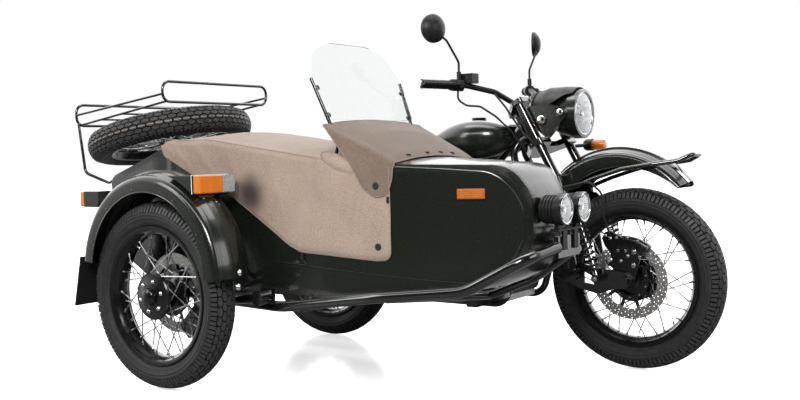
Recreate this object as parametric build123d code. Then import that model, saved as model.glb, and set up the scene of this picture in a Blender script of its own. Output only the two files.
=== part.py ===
"""A motorcycle with a sidecar on its right, built from its real pieces: tube frames, a finned flat twin,
spoked wheels, a leading link fork, a boat shaped sidecar tub with fabric covers, and a luggage lid that
carries the spare wheel and a rack. Millimetres. +X is forward, +Y is the rider's left, +Z is up."""
from build123d import *
from math import atan2, cos, degrees, pi, radians, sin, sqrt, tan
import os

# Layout. The bike's rear axle is over x = 0 and y = 0, and the floor is z = 0.
WHEELBASE = 1500.0
TRACK = 1140.0
SIDECAR_LEAD = 147.0
FIT = 0.3
RUNNING_GAP = 5.0

# Wheels, all of one pattern
TYRE_R = 343.0
TYRE_W = 108.0
BEAD_R = 243.0
BEAD_W = 76.0
RIM_LIP_R = 254.0
RIM_WALL = 6.0
RIM_WELL_R = 224.0
HUB_R = 52.0
HUB_FLANGE_R = 84.0
HUB_FLANGE_Y = 38.0
HUB_HALF = 50.0
SPOKE_R = 2.2
SPOKE_COUNT = 36
AXLE_R = 10.0
AXLE_Z = TYRE_R

# Steering geometry
RAKE = 28.0
TRAIL = 45.0
FORK_OFFSET = 71.0
LEG_Y = 128.0
LEG_R = 18.0
HEAD_TUBE_R = 30.0
STEM_R = 19.0
HEAD_LOW = 852.0
HEAD_HIGH = 978.0

# Sidecar tub
TUB_Y = -700.0
TUB_WALL = 4.0

# The middle of the whole machine, from the spare tyre to the front tyre and from a mirror to the far fender
RACK_REAR_X = -536.0
SPARE_REAR_X = -628.4
MIRROR_REACH_Y = 456.0
FENDER_HALF = 84.5
FENDER_OUT_Y = -TRACK - FENDER_HALF
ORIGIN_X = (SPARE_REAR_X + WHEELBASE + TYRE_R) / 2
ORIGIN_Y = (MIRROR_REACH_Y + FENDER_OUT_Y) / 2


def rod(start, end, radius):
    """A round bar between two points."""
    a, b = Vector(*start), Vector(*end)
    return Solid.make_cylinder(radius, (b - a).length, Plane(origin=a, z_dir=b - a))


def cross_rod(x, z, y0, y1, radius):
    """A round bar along Y."""
    return rod((x, y0, z), (x, y1, z), radius)


def tube(points, radius, bend):
    """A bent round bar through points, with arcs of the given bend radius, or one radius for each corner."""
    path = FilletPolyline(*points, radius=bend)
    return sweep(Plane(origin=path @ 0, z_dir=path % 0) * Circle(radius), path=path)


def block(x0, x1, y0, y1, z0, z1):
    return Pos((x0 + x1) / 2, (y0 + y1) / 2, (z0 + z1) / 2) * Box(x1 - x0, y1 - y0, z1 - z0)


def side_plate(outline, y0, y1, bend=0):
    """A plate whose outline is given in x and z, from y0 to y1."""
    points = [(x, z) for x, z in outline]
    if bend:
        wire = FilletPolyline(*points, radius=bend, close=True)
    else:
        wire = Polyline(*points, close=True)
    face = Plane(origin=(0, y1, 0), x_dir=(1, 0, 0), z_dir=(0, -1, 0)) * make_face(wire)
    return extrude(face, amount=y1 - y0)


def turned(profile, about=Axis.Y):
    """A ring or disc turned about Y from (radius, y) points."""
    return revolve(make_face(Polyline(*profile, close=True)), axis=about)


def dome(x0, r0, x1):
    """A ball's arc from radius r0 at x0 to the X axis at x1."""
    height = x1 - x0
    ball = (height * height + r0 * r0) / (2 * height)
    half = (pi - atan2(r0, -(height - ball))) / 2 if abs(height) > r0 else atan2(r0, abs(ball - height)) / 2
    centre = x1 - ball
    return ThreePointArc((x0, r0), (centre + ball * cos(half), abs(ball) * sin(half)), (x1, 0))


def fused(*pieces):
    return pieces[0] + list(pieces[1:])


def group(*pieces):
    """Several solids that do not touch, as one node."""
    solids = []
    for piece in pieces:
        solids += piece.solids()
    return Compound(solids)


# Wheels

def tyre():
    half = TYRE_W / 2
    bead = BEAD_W / 2
    shoulder_r = TYRE_R - 19
    bulge_r = (RIM_LIP_R + shoulder_r) / 2
    left = [
        Line((BEAD_R, -bead), (RIM_LIP_R + 2, -bead)),
        ThreePointArc((RIM_LIP_R + 2, -bead), (bulge_r, -half), (shoulder_r, -half + 6)),
        ThreePointArc((shoulder_r, -half + 6), (TYRE_R, 0), (shoulder_r, half - 6)),
        ThreePointArc((shoulder_r, half - 6), (bulge_r, half), (RIM_LIP_R + 2, bead)),
        Line((RIM_LIP_R + 2, bead), (BEAD_R, bead)),
        Line((BEAD_R, bead), (BEAD_R, -bead)),
    ]
    return revolve(make_face(left), axis=Axis.Y)


def rim_ring():
    bead = BEAD_W / 2 + FIT
    seat = BEAD_R - FIT
    lip = bead + RIM_WALL
    well = 20.0
    return turned([
        (RIM_LIP_R, lip), (RIM_LIP_R, bead), (seat, bead), (seat, -bead), (RIM_LIP_R, -bead), (RIM_LIP_R, -lip),
        (BEAD_R - 8, -lip + 2), (RIM_WELL_R, -well), (RIM_WELL_R, well), (BEAD_R - 8, lip - 2),
    ])


def hub():
    bore = AXLE_R + FIT
    thick = 3.5
    return turned([
        (bore, -HUB_HALF), (HUB_R, -HUB_HALF), (HUB_R, -HUB_FLANGE_Y - thick), (HUB_FLANGE_R, -HUB_FLANGE_Y - thick),
        (HUB_FLANGE_R, -HUB_FLANGE_Y + thick), (HUB_R, -HUB_FLANGE_Y + thick), (HUB_R, HUB_FLANGE_Y - thick),
        (HUB_FLANGE_R, HUB_FLANGE_Y - thick), (HUB_FLANGE_R, HUB_FLANGE_Y + thick), (HUB_R, HUB_FLANGE_Y + thick),
        (HUB_R, HUB_HALF), (bore, HUB_HALF),
    ])


def spokes():
    """Laced in crossing pairs, the heads alternately inside and outside the flange."""
    bars = []
    lace = 54.0
    for n in range(SPOKE_COUNT):
        side = 1 if n % 2 else -1
        pair = (n // 2) % 2
        rim_angle = radians(360.0 * n / SPOKE_COUNT)
        hub_angle = rim_angle + radians(lace if pair else -lace)
        hub_y = side * (HUB_FLANGE_Y + (2.6 if pair else -2.6))
        hub_r = HUB_FLANGE_R - 7
        rim_r = RIM_WELL_R + 5
        bars.append(rod(
            (hub_r * cos(hub_angle), hub_y, hub_r * sin(hub_angle)),
            (rim_r * cos(rim_angle), side * 9.0, rim_r * sin(rim_angle)),
            SPOKE_R,
        ))
    return bars


def wheel():
    return fused(rim_ring(), hub(), *spokes())


DISC_Y = -70.0
DISC_R = 147.0
DISC_T = 5.0


def brake_disc():
    """A drilled ring on a ten armed carrier that is dished out from the hub's end."""
    band = 40.0
    ring = turned([
        (DISC_R, DISC_Y - DISC_T / 2), (DISC_R, DISC_Y + DISC_T / 2),
        (DISC_R - band, DISC_Y + DISC_T / 2), (DISC_R - band, DISC_Y - DISC_T / 2),
    ])
    drill = 3.5
    holes = []
    for n in range(20):
        for k, radius in enumerate((DISC_R - 10, DISC_R - 28)):
            a = radians(18.0 * n + 9.0 * k)
            holes.append(Pos(radius * cos(a), DISC_Y, radius * sin(a)) * Rot(90, 0, 0) * Cylinder(drill, DISC_T * 3))
    ring = ring - holes
    bore = 26.0
    cup = turned([
        (bore, -HUB_HALF), (HUB_R - 2, -HUB_HALF), (72, DISC_Y + 3), (72, DISC_Y - 3), (HUB_R - 6, DISC_Y - 3), (bore, -HUB_HALF - 6),
    ])
    arms = []
    for n in range(10):
        a = 36.0 * n
        arm = Pos(91, DISC_Y, 0) * Box(54, DISC_T - 1, 9)
        arms.append(arm.rotate(Axis.Y, a))
    return fused(cup, ring, *arms)


# Steering geometry helpers

def on_axis(height, ahead=0.0, y=0.0):
    """A point at a height over the floor on the steering axis, moved square to the axis by ahead."""
    r = radians(RAKE)
    x = WHEELBASE + TRAIL - height * tan(r)
    return (x + ahead * cos(r), y, height + ahead * sin(r))


AXIS_DIR = Vector(-sin(radians(RAKE)), 0, cos(radians(RAKE)))
LEG_TOP_Z = 1000.0
LEG_BEND_Z = 676.0
PIVOT_X = 1302.0
PIVOT_Z = 362.0
SHOCK_EYE_X = 1400.0
SHOCK_EYE_Z = 352.0
SHOCK_TOP_X = 1322.0
SHOCK_TOP_Z = 610.0
SHOCK_Y = 138.0
SHOCK_EYE_HALF = 16.0
ARM_Y0 = 97.0
ARM_Y1 = 109.0
YOKE_LOW = HEAD_LOW - 20
YOKE_HIGH = HEAD_HIGH + 14


def yoke(height, thick, half_width):
    """A fork yoke, square to the steering axis, from the stem out to both legs."""
    centre = Vector(*on_axis(height))
    plane = Plane(origin=centre, x_dir=(cos(radians(RAKE)), 0, sin(radians(RAKE))), z_dir=AXIS_DIR)
    outline = [(-38, -40), (-38, 40), (FORK_OFFSET - 18, half_width), (FORK_OFFSET + 26, half_width),
               (FORK_OFFSET + 26, 70), (FORK_OFFSET - 8, 40), (FORK_OFFSET - 8, -40), (FORK_OFFSET + 26, -70),
               (FORK_OFFSET + 26, -half_width), (FORK_OFFSET - 18, -half_width)]
    return extrude(plane * make_face(FilletPolyline(*outline, radius=10, close=True)), amount=thick / 2, both=True)


def fork_legs(grow):
    made = []
    for side in (1, -1):
        y = side * LEG_Y
        top = on_axis(LEG_TOP_Z, FORK_OFFSET, y)
        bend = on_axis(LEG_BEND_Z, FORK_OFFSET, y)
        made.append(tube([top, bend, (PIVOT_X, y, PIVOT_Z)], LEG_R + grow, 160))
    return made


def front_fork():
    stem = rod(on_axis(YOKE_LOW), on_axis(YOKE_HIGH), STEM_R)
    yokes = [yoke(YOKE_LOW, 22, LEG_Y + 26), yoke(YOKE_HIGH, 18, LEG_Y + 26)]
    legs, lugs = fork_legs(0), []
    for side in (1, -1):
        y = side * LEG_Y
        lugs.append(cross_rod(PIVOT_X, PIVOT_Z, side * (ARM_Y1 + FIT), side * (LEG_Y + 20), 24))
        lugs.append(cross_rod(1236, 735, side * (FRONT_FENDER_HALF + FIT), side * LEG_Y, 10))
        near, far = sorted((side * 112, side * (SHOCK_Y - SHOCK_EYE_HALF - FIT)))
        lugs.append(side_plate([(1238, 668), (1290, 664), (1340, 622), (1340, 596), (1310, 590), (1248, 606)], near, far))
    return fused(stem, *yokes, *legs, *lugs)


def leading_link():
    """Two arm plates ahead of the pivots, joined through the wheel's axle."""
    outline = [(1222, 352), (1235, 388), (1330, 402), (1405, 388), (1500, 376), (1530, 343), (1505, 314), (1455, 312),
               (1395, 288), (1320, 306)]
    pieces = []
    for side in (1, -1):
        y0, y1 = sorted((side * ARM_Y0, side * ARM_Y1))
        plate = side_plate(outline, y0, y1, 12)
        window = side_plate([(1335, 372), (1385, 366), (1378, 322), (1335, 330)], y0 - 1, y1 + 1, 6)
        pieces.append(plate - window)
        pieces.append(cross_rod(WHEELBASE, AXLE_Z, side * (HUB_HALF + 0.5), side * ARM_Y0, 17))
        pieces.append(cross_rod(WHEELBASE, AXLE_Z, side * ARM_Y1, side * (ARM_Y1 + 16), 17))
        pieces.append(cross_rod(SHOCK_EYE_X, SHOCK_EYE_Z, side * ARM_Y1, side * (SHOCK_Y - SHOCK_EYE_HALF - FIT), 15))
    axle = cross_rod(WHEELBASE, AXLE_Z, -ARM_Y1 - 16, ARM_Y1 + 16, AXLE_R)
    return fused(*pieces, axle)


def coil_over(start, end, coil_r, wire_r, turns, eye_r, eye_half):
    """A damper with a coil spring, shown as stacked rings, and an eye along Y at each end."""
    a, b = Vector(*start), Vector(*end)
    axis = (b - a).normalized()
    length = (b - a).length
    pieces = [rod(start, end, coil_r * 0.45)]
    for t in (0.12, 0.88):
        at = a + axis * (length * t)
        pieces.append(Solid.make_cylinder(coil_r + 2, 8, Plane(origin=at - axis * 4, z_dir=axis)))
    first, last = 0.16, 0.84
    for n in range(turns):
        at = a + axis * (length * (first + (last - first) * n / (turns - 1)))
        pieces.append(Solid.make_torus(coil_r - wire_r, wire_r, Plane(origin=at, z_dir=axis)))
        pieces.append(Solid.make_cylinder(coil_r - wire_r, wire_r * 0.6, Plane(origin=at, z_dir=axis)))
    for p in (start, end):
        pieces.append(cross_rod(p[0], p[2], p[1] - eye_half, p[1] + eye_half, eye_r))
    return fused(*pieces)


def front_shocks():
    made = []
    for side in (1, -1):
        y = side * SHOCK_Y
        made.append(coil_over((SHOCK_TOP_X, y, SHOCK_TOP_Z), (SHOCK_EYE_X, y, SHOCK_EYE_Z), 24, 5, 9, 15,
                              SHOCK_EYE_HALF))
    return group(*made)


HANGER_Y0 = -95.0
HANGER_Y1 = -87.0


def brake_caliper():
    """A four piston caliper over the disc's front top edge, on a hanger plate from the axle."""
    mid = Vector(WHEELBASE, DISC_Y, AXLE_Z)
    lean = -15.0
    body = block(-62, 62, -26, 22, 104, 168)
    slot = block(-70, 70, -RUNNING_GAP - DISC_T / 2, RUNNING_GAP + DISC_T / 2, 90, DISC_R + RUNNING_GAP)
    body = (body - slot).rotate(Axis.Y, -lean)
    body = Pos(mid.X, mid.Y, mid.Z) * body
    plate = side_plate([(1404, 500), (1432, 532), (1478, 506), (1560, 470), (1552, 420), (1527, 330), (1500, 316),
                        (1470, 326), (1452, 400)], HANGER_Y0, HANGER_Y1, 9)
    hole = cross_rod(WHEELBASE, AXLE_Z, HANGER_Y0 - 1, HANGER_Y1 + 1, 17 + FIT)
    return fused(body, plate) - hole


FENDER_F_X = 1443.0
FENDER_F_Z = 486.0
FENDER_F_R = 350.0
FRONT_FENDER_HALF = 82.0
SHEET = 3.0


def arc_shell(cx, cz, radius, start, end, half_width, drop, thick):
    """A fender: a crowned strip with side skirts, turned about the line along Y through cx and cz."""
    def section(r, w, d):
        return [
            Line((r - d, -w), (r - 18, -w)),
            ThreePointArc((r - 18, -w), (r, 0), (r - 18, w)),
            Line((r - 18, w), (r - d, w)),
            Line((r - d, w), (r - d, -w)),
        ]
    sweep_angle = end - start
    outer = revolve(make_face(section(radius, half_width, drop)), axis=Axis.Y, revolution_arc=sweep_angle)
    inner = revolve(make_face(section(radius - thick, half_width - thick, drop + 20)), axis=Axis.Y,
                    revolution_arc=sweep_angle)
    shell = outer - inner
    return Pos(cx, 0, cz) * shell.rotate(Axis.Y, -end)


def arc_band(cx, cz, radius, start, end, half_width, height):
    """The raised rib along a fender's crown."""
    low = radius - 2.4
    face = make_face(Polyline((low, -half_width), (radius + height, -half_width + 5), (radius + height, half_width - 5),
                              (low, half_width), close=True))
    return Pos(cx, 0, cz) * revolve(face, axis=Axis.Y, revolution_arc=end - start).rotate(Axis.Y, -end)


def front_fender():
    """High over the tyre, its side skirts deep behind and shallow ahead."""
    half = FRONT_FENDER_HALF
    shell = arc_shell(FENDER_F_X, FENDER_F_Z, FENDER_F_R, 39, 147, half, 110, SHEET)
    rib = arc_band(FENDER_F_X, FENDER_F_Z, FENDER_F_R, 40, 146, 24, 6)
    hem = Pos(1483, 0, 456) * Rot(90, 0, 0) * Cylinder(312, half * 3)
    return fused(shell, rib) - hem


def fender_guard():
    """The loop in front of the fender and its stays, carried from the fork."""
    r = 8.5
    out = 94.0
    near = [(1284, -out, 690), (1367, -out, 722), (1488, -out, 759), (1600, -out, 774), (1690, -66, 786),
            (1736, -46, 808)]
    far = [(x, -y, z) for x, y, z in reversed(near)]
    loop = tube(near + far, r, [60, 60, 40, 28, 28, 28, 28, 40, 60, 60])
    roots = [rod((1252, side * (LEG_Y - LEG_R + 4), 690), (1284, side * out, 690), r) for side in (1, -1)]
    return fused(loop, *roots) - fork_legs(FIT)


def headlamp_shell():
    """The lamp's bowl, with the two ears that hold it to the fork's legs."""
    bowl = revolve(make_face([
        Line((0, 0), (0, LAMP_R)),
        Line((0, LAMP_R), (-34, LAMP_R)),
        Line((-34, LAMP_R), (-40, LAMP_R - 8)),
        ThreePointArc((-40, LAMP_R - 8), (-88, 79), (-120, 60)),
        dome(-120, 60, -160),
        Line((-160, 0), (0, 0)),
    ]), axis=Axis.X)
    lens_seat = Pos(-6, 0, 0) * Rot(0, 90, 0) * Cylinder(LAMP_R - 6, 12 + 2 * FIT)
    bowl = Pos(LAMP_X, 0, LAMP_Z) * Rot(-90, 0, 0) * (bowl - lens_seat)
    ears = []
    for side in (1, -1):
        y = side * (LAMP_R - 6)
        outer = side * (LEG_Y - LEG_R - FIT)
        y0, y1 = sorted((side * 84, outer))
        ears.append(side_plate([(1096, 990), (1120, 1010), (1210, 1010), (1262, 1000), (1268, 960), (1190, 880), (1150, 915)],
                               y0, y1, 8))
        for x, z, r in ((1170, 953, 20), (1250, 980, 15)):
            ears.append(cross_rod(x, z, outer, outer + side * 7, r))
    return fused(bowl, *ears) - fork_legs(FIT) - yoke(YOKE_LOW, 22 + 2 * FIT, LEG_Y + 26 + FIT)


LAMP_R = 96.0
LAMP_X = 1296.0
LAMP_Z = 974.0
COWL_REAR_X = 1112.0


def headlamp_lens():
    dish = revolve(make_face([
        Line((-12, 0), (-12, LAMP_R - 6 - FIT)),
        Line((-12, LAMP_R - 6 - FIT), (0, LAMP_R - 6 - FIT)),
        dome(0, LAMP_R - 6 - FIT, 13),
        Line((13, 0), (-12, 0)),
    ]), axis=Axis.X)
    return Pos(LAMP_X, 0, LAMP_Z) * dish


def instrument_cover():
    """The cowl round the lamp's top and the clock behind it, with a peak over the lens."""
    t = 3.0
    profile = [(-14, 104), (-60, 108), (-130, 108), (-190, 92), (-232, 58)]
    inner = [(x, r - t) for x, r in reversed(profile)]
    shell = revolve(make_face(Polyline(*profile, *inner, close=True)), axis=Axis.X)
    shell = Pos(LAMP_X, 0, LAMP_Z) * shell
    back = Pos(COWL_REAR_X + 1.5, 0, LAMP_Z) * Rot(0, 90, 0) * Cylinder(98, 3)
    low = 1010 + FIT
    return fused(shell, back) & side_plate([(COWL_REAR_X, low), (1195, low), (1250, 1046), (1290, 1056), (1300, 1100),
                                            (COWL_REAR_X, 1100)], -120, 120)


BAR_R = 11.0
BAR_HALF = 412.0
BAR_CLAMP = on_axis(YOKE_HIGH + 28, 15)


def bar_points(side):
    x, _, z = BAR_CLAMP
    return [(x, side * 55, z), (x - 18, side * 170, 1068), (925, side * 262, 1094), (820, side * BAR_HALF, 1101)]


def bar_tube(grow):
    right, left = bar_points(-1), bar_points(1)
    return tube([right[3], right[2], right[1], right[0], left[0], left[1], left[2], left[3]], BAR_R + grow,
                [60, 60, 30, 30, 60, 60])


def control_perch(side, grow):
    """The clamp of a hand control, round the bar beside the grip."""
    a, b = Vector(*bar_points(side)[2]), Vector(*bar_points(side)[3])
    along = (b - a).normalized()
    return rod(tuple(a + along * 16), tuple(a + along * 62), 23 + grow)


def handlebar():
    pieces = [bar_tube(0)]
    for side in (1, -1):
        a, b = Vector(*bar_points(side)[2]), Vector(*bar_points(side)[3])
        along = (b - a).normalized()
        flat = Vector(along.Y, -along.X, 0) * (1 if along.Y > 0 else -1)
        flat = Vector(abs(flat.X), flat.Y if flat.X > 0 else -flat.Y, 0)
        perch = a + along * 16
        pieces.append(control_perch(side, 0))
        lever_root = perch + along * 20 + flat * 36
        pieces.append(rod(tuple(perch + along * 20), tuple(lever_root), 11))
        pieces.append(rod(tuple(lever_root), tuple(lever_root + along * 150 - flat * 8), 6.5))
        if side < 0:
            x, y, z = tuple(perch - along * 26)
            pieces.append(block(x - 26, x + 30, y - 22, y + 26, z + 8, z + 46))
        clamp = on_axis(YOKE_HIGH + (9 + FIT) * cos(radians(RAKE)), 15, side * 40)
        pieces.append(rod(clamp, (BAR_CLAMP[0], side * 40, BAR_CLAMP[2]), 15))
    return fused(*pieces)


def control_cables():
    """A cable under each hand control, one more down the right leg, and the hose to the brake's caliper."""
    cable_r = 4.0
    hose_r = 4.5
    made = []
    for side in (1, -1):
        points = [(905, 290, 1082), (903, 292, 1040), (930, 272, 1016), (968, 232, 1012), (1012, 190, 972),
                  (1055, 150, 915), (1098, 112, 838)]
        cable = tube([(x, side * y, z) for x, y, z in points], cable_r, [28, 36, 36, 60, 90])
        made.append(cable - control_perch(side, FIT))
    made.append(tube([(994, -178, 1070), (1042, -166, 1008), (1076, -152, 950), (1112, -143, 896), (1156, -138, 862)],
                     cable_r, [60, 90, 60]) - bar_tube(FIT))
    made.append(tube([(1252, -140, 690), (1320, -148, 702), (1378, -142, 716), (1422, -128, 672), (1424, -116, 580),
                      (1436, -90, 512)], hose_r, [60, 40, 36, 60]) - block(1380, 1500, HANGER_Y0 - FIT, 0, 450, 560))
    ends = [yoke(YOKE_LOW, 22 + 2 * FIT, LEG_Y + 26 + FIT), *fork_legs(FIT)]
    made = [cable - ends for cable in made]
    return group(*[max(cable.solids(), key=lambda solid: solid.volume) for cable in made])


def grips():
    made = []
    for side in (1, -1):
        a, b = Vector(*bar_points(side)[2]), Vector(*bar_points(side)[3])
        along = (b - a).normalized()
        grip = rod(tuple(b - along * 118), tuple(b + along * 4), 17)
        made.append(grip - rod(tuple(b - along * 120), tuple(b + along * 0.2), BAR_R + FIT))
    return group(*made)


MIRROR_X = 868.0
MIRROR_Z = 1307.0
MIRROR_R = 54.0
MIRROR_TURN = 21.0
MIRROR_RIM = 8.0
MIRROR_Y = MIRROR_REACH_Y - MIRROR_R * cos(radians(MIRROR_TURN)) - MIRROR_RIM * sin(radians(MIRROR_TURN))


def mirrors():
    made = []
    for side in (1, -1):
        a, b = Vector(*bar_points(side)[2]), Vector(*bar_points(side)[3])
        along = (b - a).normalized()
        foot = a + along * 30 + Vector(0, 0, 23.4)
        head = (MIRROR_X, side * MIRROR_Y, MIRROR_Z)
        stem = tube([tuple(foot), (foot.X, foot.Y, foot.Z + 66), (head[0] + 34, head[1] - side * 44, head[2] - 46),
                     (head[0] + 14, head[1] - side * 12, head[2] - 14)], 4.5, [24, 16])
        boss = Pos(*tuple(foot)) * Pos(0, 0, 14) * Cylinder(9, 28)
        bowl = revolve(make_face([
            Line((0, 0), (0, MIRROR_R)),
            Line((0, MIRROR_R), (MIRROR_RIM, MIRROR_R)),
            dome(MIRROR_RIM, MIRROR_R, 34),
            Line((34, 0), (0, 0)),
        ]), axis=Axis.X)
        made.append(fused(Pos(*head) * Rot(0, 0, side * MIRROR_TURN) * bowl, stem, boss))
    return group(*made)


SIGNAL_X = 1180.0
SIGNAL_Y = 246.0
SIGNAL_Z = 853.0


def turn_signal_lens(x, y, z, facing):
    """The amber lens, which stands on its cup with a small gap."""
    return Pos(x + facing * (56 + FIT + 20), y, z) * Rot(0, 90, 0) * Cylinder(24, 40)


def turn_signal_cup(x, y, z, facing, root):
    """The cup behind the lens, and the stalk to what carries it."""
    cup = Pos(x + facing * 28, y, z) * Rot(0, 90, 0) * Cylinder(25, 56)
    return fused(cup, rod(root, (x + facing * 18, y - 20, z), 8))


def front_signal_cup():
    return turn_signal_cup(SIGNAL_X, SIGNAL_Y, SIGNAL_Z, 1, (1174, LEG_Y + 8, 848)) - fork_legs(FIT)


def rear_signal_cup():
    return turn_signal_cup(TAIL_SIGNAL_X, TAIL_SIGNAL_Y, TAIL_SIGNAL_Z, -1, (TAIL_SIGNAL_X - 18, 60 + FIT, TAIL_SIGNAL_Z))


def front_signal_lens():
    return turn_signal_lens(SIGNAL_X, SIGNAL_Y, SIGNAL_Z, 1)


def rear_signal_lens():
    return turn_signal_lens(TAIL_SIGNAL_X, TAIL_SIGNAL_Y, TAIL_SIGNAL_Z, -1)


TAIL_SIGNAL_X = -345.0
TAIL_SIGNAL_Y = 175.0
TAIL_SIGNAL_Z = 662.0

# The bike's frame and engine

CRADLE_Y = 158.0
CRADLE_Z = 232.0
PIVOT_R_X = 455.0
PIVOT_R_Z = 352.0
PIVOT_HALF = 138.0
RAIL_Z = 742.0


def bike_frame_tubes(grow):
    """The right side's cradle tube, as a body to cut the struts' ends back with."""
    y = -CRADLE_Y
    return tube([(1078, -110, 640), (1078, y, 420), (1020, y, CRADLE_Z), (560, y, CRADLE_Z), (330, y, 300),
                 (260, y, 520)], 15 + grow, [80, 70, 80, 70])


def bike_frame():
    head = rod(on_axis(HEAD_LOW), on_axis(HEAD_HIGH), HEAD_TUBE_R)
    low = on_axis(HEAD_LOW + 40)
    high = on_axis(HEAD_HIGH - 40)
    r = 15.0
    pieces = [head]
    for side in (1, -1):
        y = side * CRADLE_Y
        pieces.append(tube([(low[0] - 8, side * 14, low[2]), (1000, side * 38, 850), (1078, side * 110, 640),
                            (1078, y, 420), (1020, y, CRADLE_Z), (560, y, CRADLE_Z), (330, y, 300), (260, y, 520),
                            (205, side * 128, RAIL_Z)], r, [60, 90, 80, 70, 80, 70, 70]))
        pieces.append(tube([(high[0] - 6, side * 12, high[2]), (900, side * 38, 800), (640, side * 110, RAIL_Z),
                            (205, side * 128, RAIL_Z), (-215, side * 118, RAIL_Z)], r, [90, 120, 200]))
    pieces.append(cross_rod(180, RAIL_Z, -120, 120, r - 2))
    pieces.append(cross_rod(-195, RAIL_Z, -112, 112, r - 2))
    pieces.append(cross_rod(890, 798, -45, 45, 12))
    pieces.append(cross_rod(CASE_FRONT_X + 12 + FIT, 340, -CRADLE_Y, CRADLE_Y, 12))
    pieces.append(block(876, 904, -20, 20, 800, 866.4))
    pieces.append(cross_rod(0, RAIL_Z, -122, 122, 12))
    pieces.append(block(-20, 20, -30, 30, AXLE_Z + REAR_FENDER_R + FIT, RAIL_Z))
    for side in (1, -1):
        near, far = sorted((side * 127.7, side * (COVER_Y - FIT)))
        pieces.append(block(222, 330, near, far, 620, 650))
        near, far = sorted((side * (PIVOT_HALF + FIT), side * 151))
        pieces.append(side_plate([(300, 290), (420, 258), (478, 326), (478, 378), (420, 394), (290, 410)], near, far, 10))
    pieces.append(cross_rod(400, 279, -CRADLE_Y, CRADLE_Y, 12))
    for side in (1, -1):
        ear = block(REAR_SHOCK_TOP[0] - 18, REAR_SHOCK_TOP[0] + 18, 0, REAR_SHOCK_Y - 18 - FIT, 676, RAIL_Z)
        pieces.append((ear if side > 0 else mirror(ear, about=Plane.XZ)) - block(0, 300, -112, 112, 600, 800))
    stem_bore = rod(on_axis(HEAD_LOW - 30), on_axis(HEAD_HIGH + 30), STEM_R + FIT)
    return fused(*pieces) - stem_bore


CRANK_X = 880.0
CRANK_Z = 420.0
CASE_FRONT_X = CRANK_X + 175
BARREL_Y = 128.0
BARREL_END = 300.0
FIN_R = 76.0


def engine_case():
    """Crankcase, sump with ribs, bell housing and gearbox, one heavy mass in one casting."""
    case = side_plate([(738, 258), (1010, 258), (1034, 330), (1030, 470), (985, 566), (800, 570), (738, 500)],
                      -BARREL_Y, BARREL_Y, 24)
    front = Pos(CASE_FRONT_X - 25, 0, CRANK_Z) * Rot(0, 90, 0) * Cylinder(88, 50)
    generator = Pos(950, 0, 570) * Rot(0, 90, 0) * Cylinder(62, 130)
    box = side_plate([(508, 280), (742, 262), (742, 520), (700, 540), (540, 500), (508, 430)], -104, 104, 20)
    ribs = [block(760 + n * 34, 768 + n * 34, -112, 112, 236, 262) for n in range(8)]
    return fused(case, front, generator, box, *ribs)


def engine_cylinders():
    """The two finned barrels and heads, with their rocker covers."""
    made = []
    for side in (1, -1):
        barrel = Pos(CRANK_X, side * (BARREL_Y + BARREL_END + 2 * FIT) / 2, CRANK_Z) * Rot(90, 0, 0) * Cylinder(
            54, BARREL_END - BARREL_Y - 2 * FIT)
        fins = []
        pitch = 15.0
        for n in range(10):
            y = side * (BARREL_Y + 14 + n * pitch)
            fin = Pos(CRANK_X, y, CRANK_Z) * Box(FIN_R * 2, 4.5, FIN_R * 2 - (0 if n > 4 else 16))
            fins.append(fin)
        cover = Pos(CRANK_X, side * (BARREL_END + 34), CRANK_Z) * Box(136, 70, 128)
        cover = fillet(cover.edges(), 22)
        made.append(fused(barrel, cover, *fins))
    return group(*made)


def intakes():
    """Air box over the gearbox, with a runner down to each head's rear."""
    box = fillet(block(560, 742, -92, 92, 545, 668).edges(), 18)
    neck = side_plate([(628, 522 + FIT), (672, 533 + FIT), (672, 560), (628, 560)], -40, 40)
    pieces = [box, neck]
    for side in (1, -1):
        pieces.append(tube([(700, side * 80, 590), (705, side * 205, 590), (712, side * 225, 452),
                            (CRANK_X - FIN_R - FIT, side * 225, 452)], 20, [40, 40]))
        pieces.append(Pos(762, side * 225, 452) * Rot(0, 90, 0) * Cylinder(30, 50))
    return fused(*pieces)


TIP_LENGTH = 42.0


def exhaust():
    made = []
    for side in (1, -1):
        y = side * 262.0
        z = CRANK_Z - FIN_R - FIT
        pipe = tube([(CRANK_X + 30, y, z), (CRANK_X + 30, y, 268), (770, side * 240, 252), (420, side * 240, 264)], 20,
                    [44, 90])
        front, back = Vector(430, side * 240, 264), Vector(-190, side * 244, 300)
        along = (back - front).normalized()
        can = rod(tuple(front), tuple(back), 42)
        tip = rod(tuple(back), tuple(back + along * TIP_LENGTH), 24)
        outlet = rod(tuple(back - along * 60), tuple(back + along * (TIP_LENGTH + 1)), 21)
        made.append(fused(pipe, can, tip) - outlet)
    return group(*made)


def fuel_tank():
    """The teardrop tank, lofted through few sections, over the top tubes, with its cap."""
    # x, half width, floor z, top z
    stations = [(560, 62, 800, 856), (676, 118, 800, 923), (777, 146, 800, 957), (900, 146, 808, 960),
                (975, 104, 832, 938), (1008, 60, 856, 908)]
    sections = []
    for x, half, low, high in stations:
        plane = Plane(origin=(x, 0, (low + high) / 2), x_dir=(0, 1, 0), z_dir=(1, 0, 0))
        sections.append(plane * RectangleRounded(half * 2, high - low, min(half, (high - low) / 2) * 0.86))
    tunnel = side_plate([(540, 700), (540, 812), (700, 812), (880, 868), (960, 926), (1100, 990), (1100, 700)], -62, 62)
    body = loft(sections) - tunnel
    cap_x, cap_z = 822.0, 960.0
    cap = Pos(cap_x, 0, cap_z + 4) * Cylinder(32, 26)
    return fused(body, cap)


def seat():
    """A long two up bench with a step."""
    under = RAIL_Z + 15 + FIT
    return side_plate([(-180, under), (500, under), (548, 800), (520, 838), (330, 822), (270, 856), (-120, 868),
                       (-190, 840)], -140, 140, 12)


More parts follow.
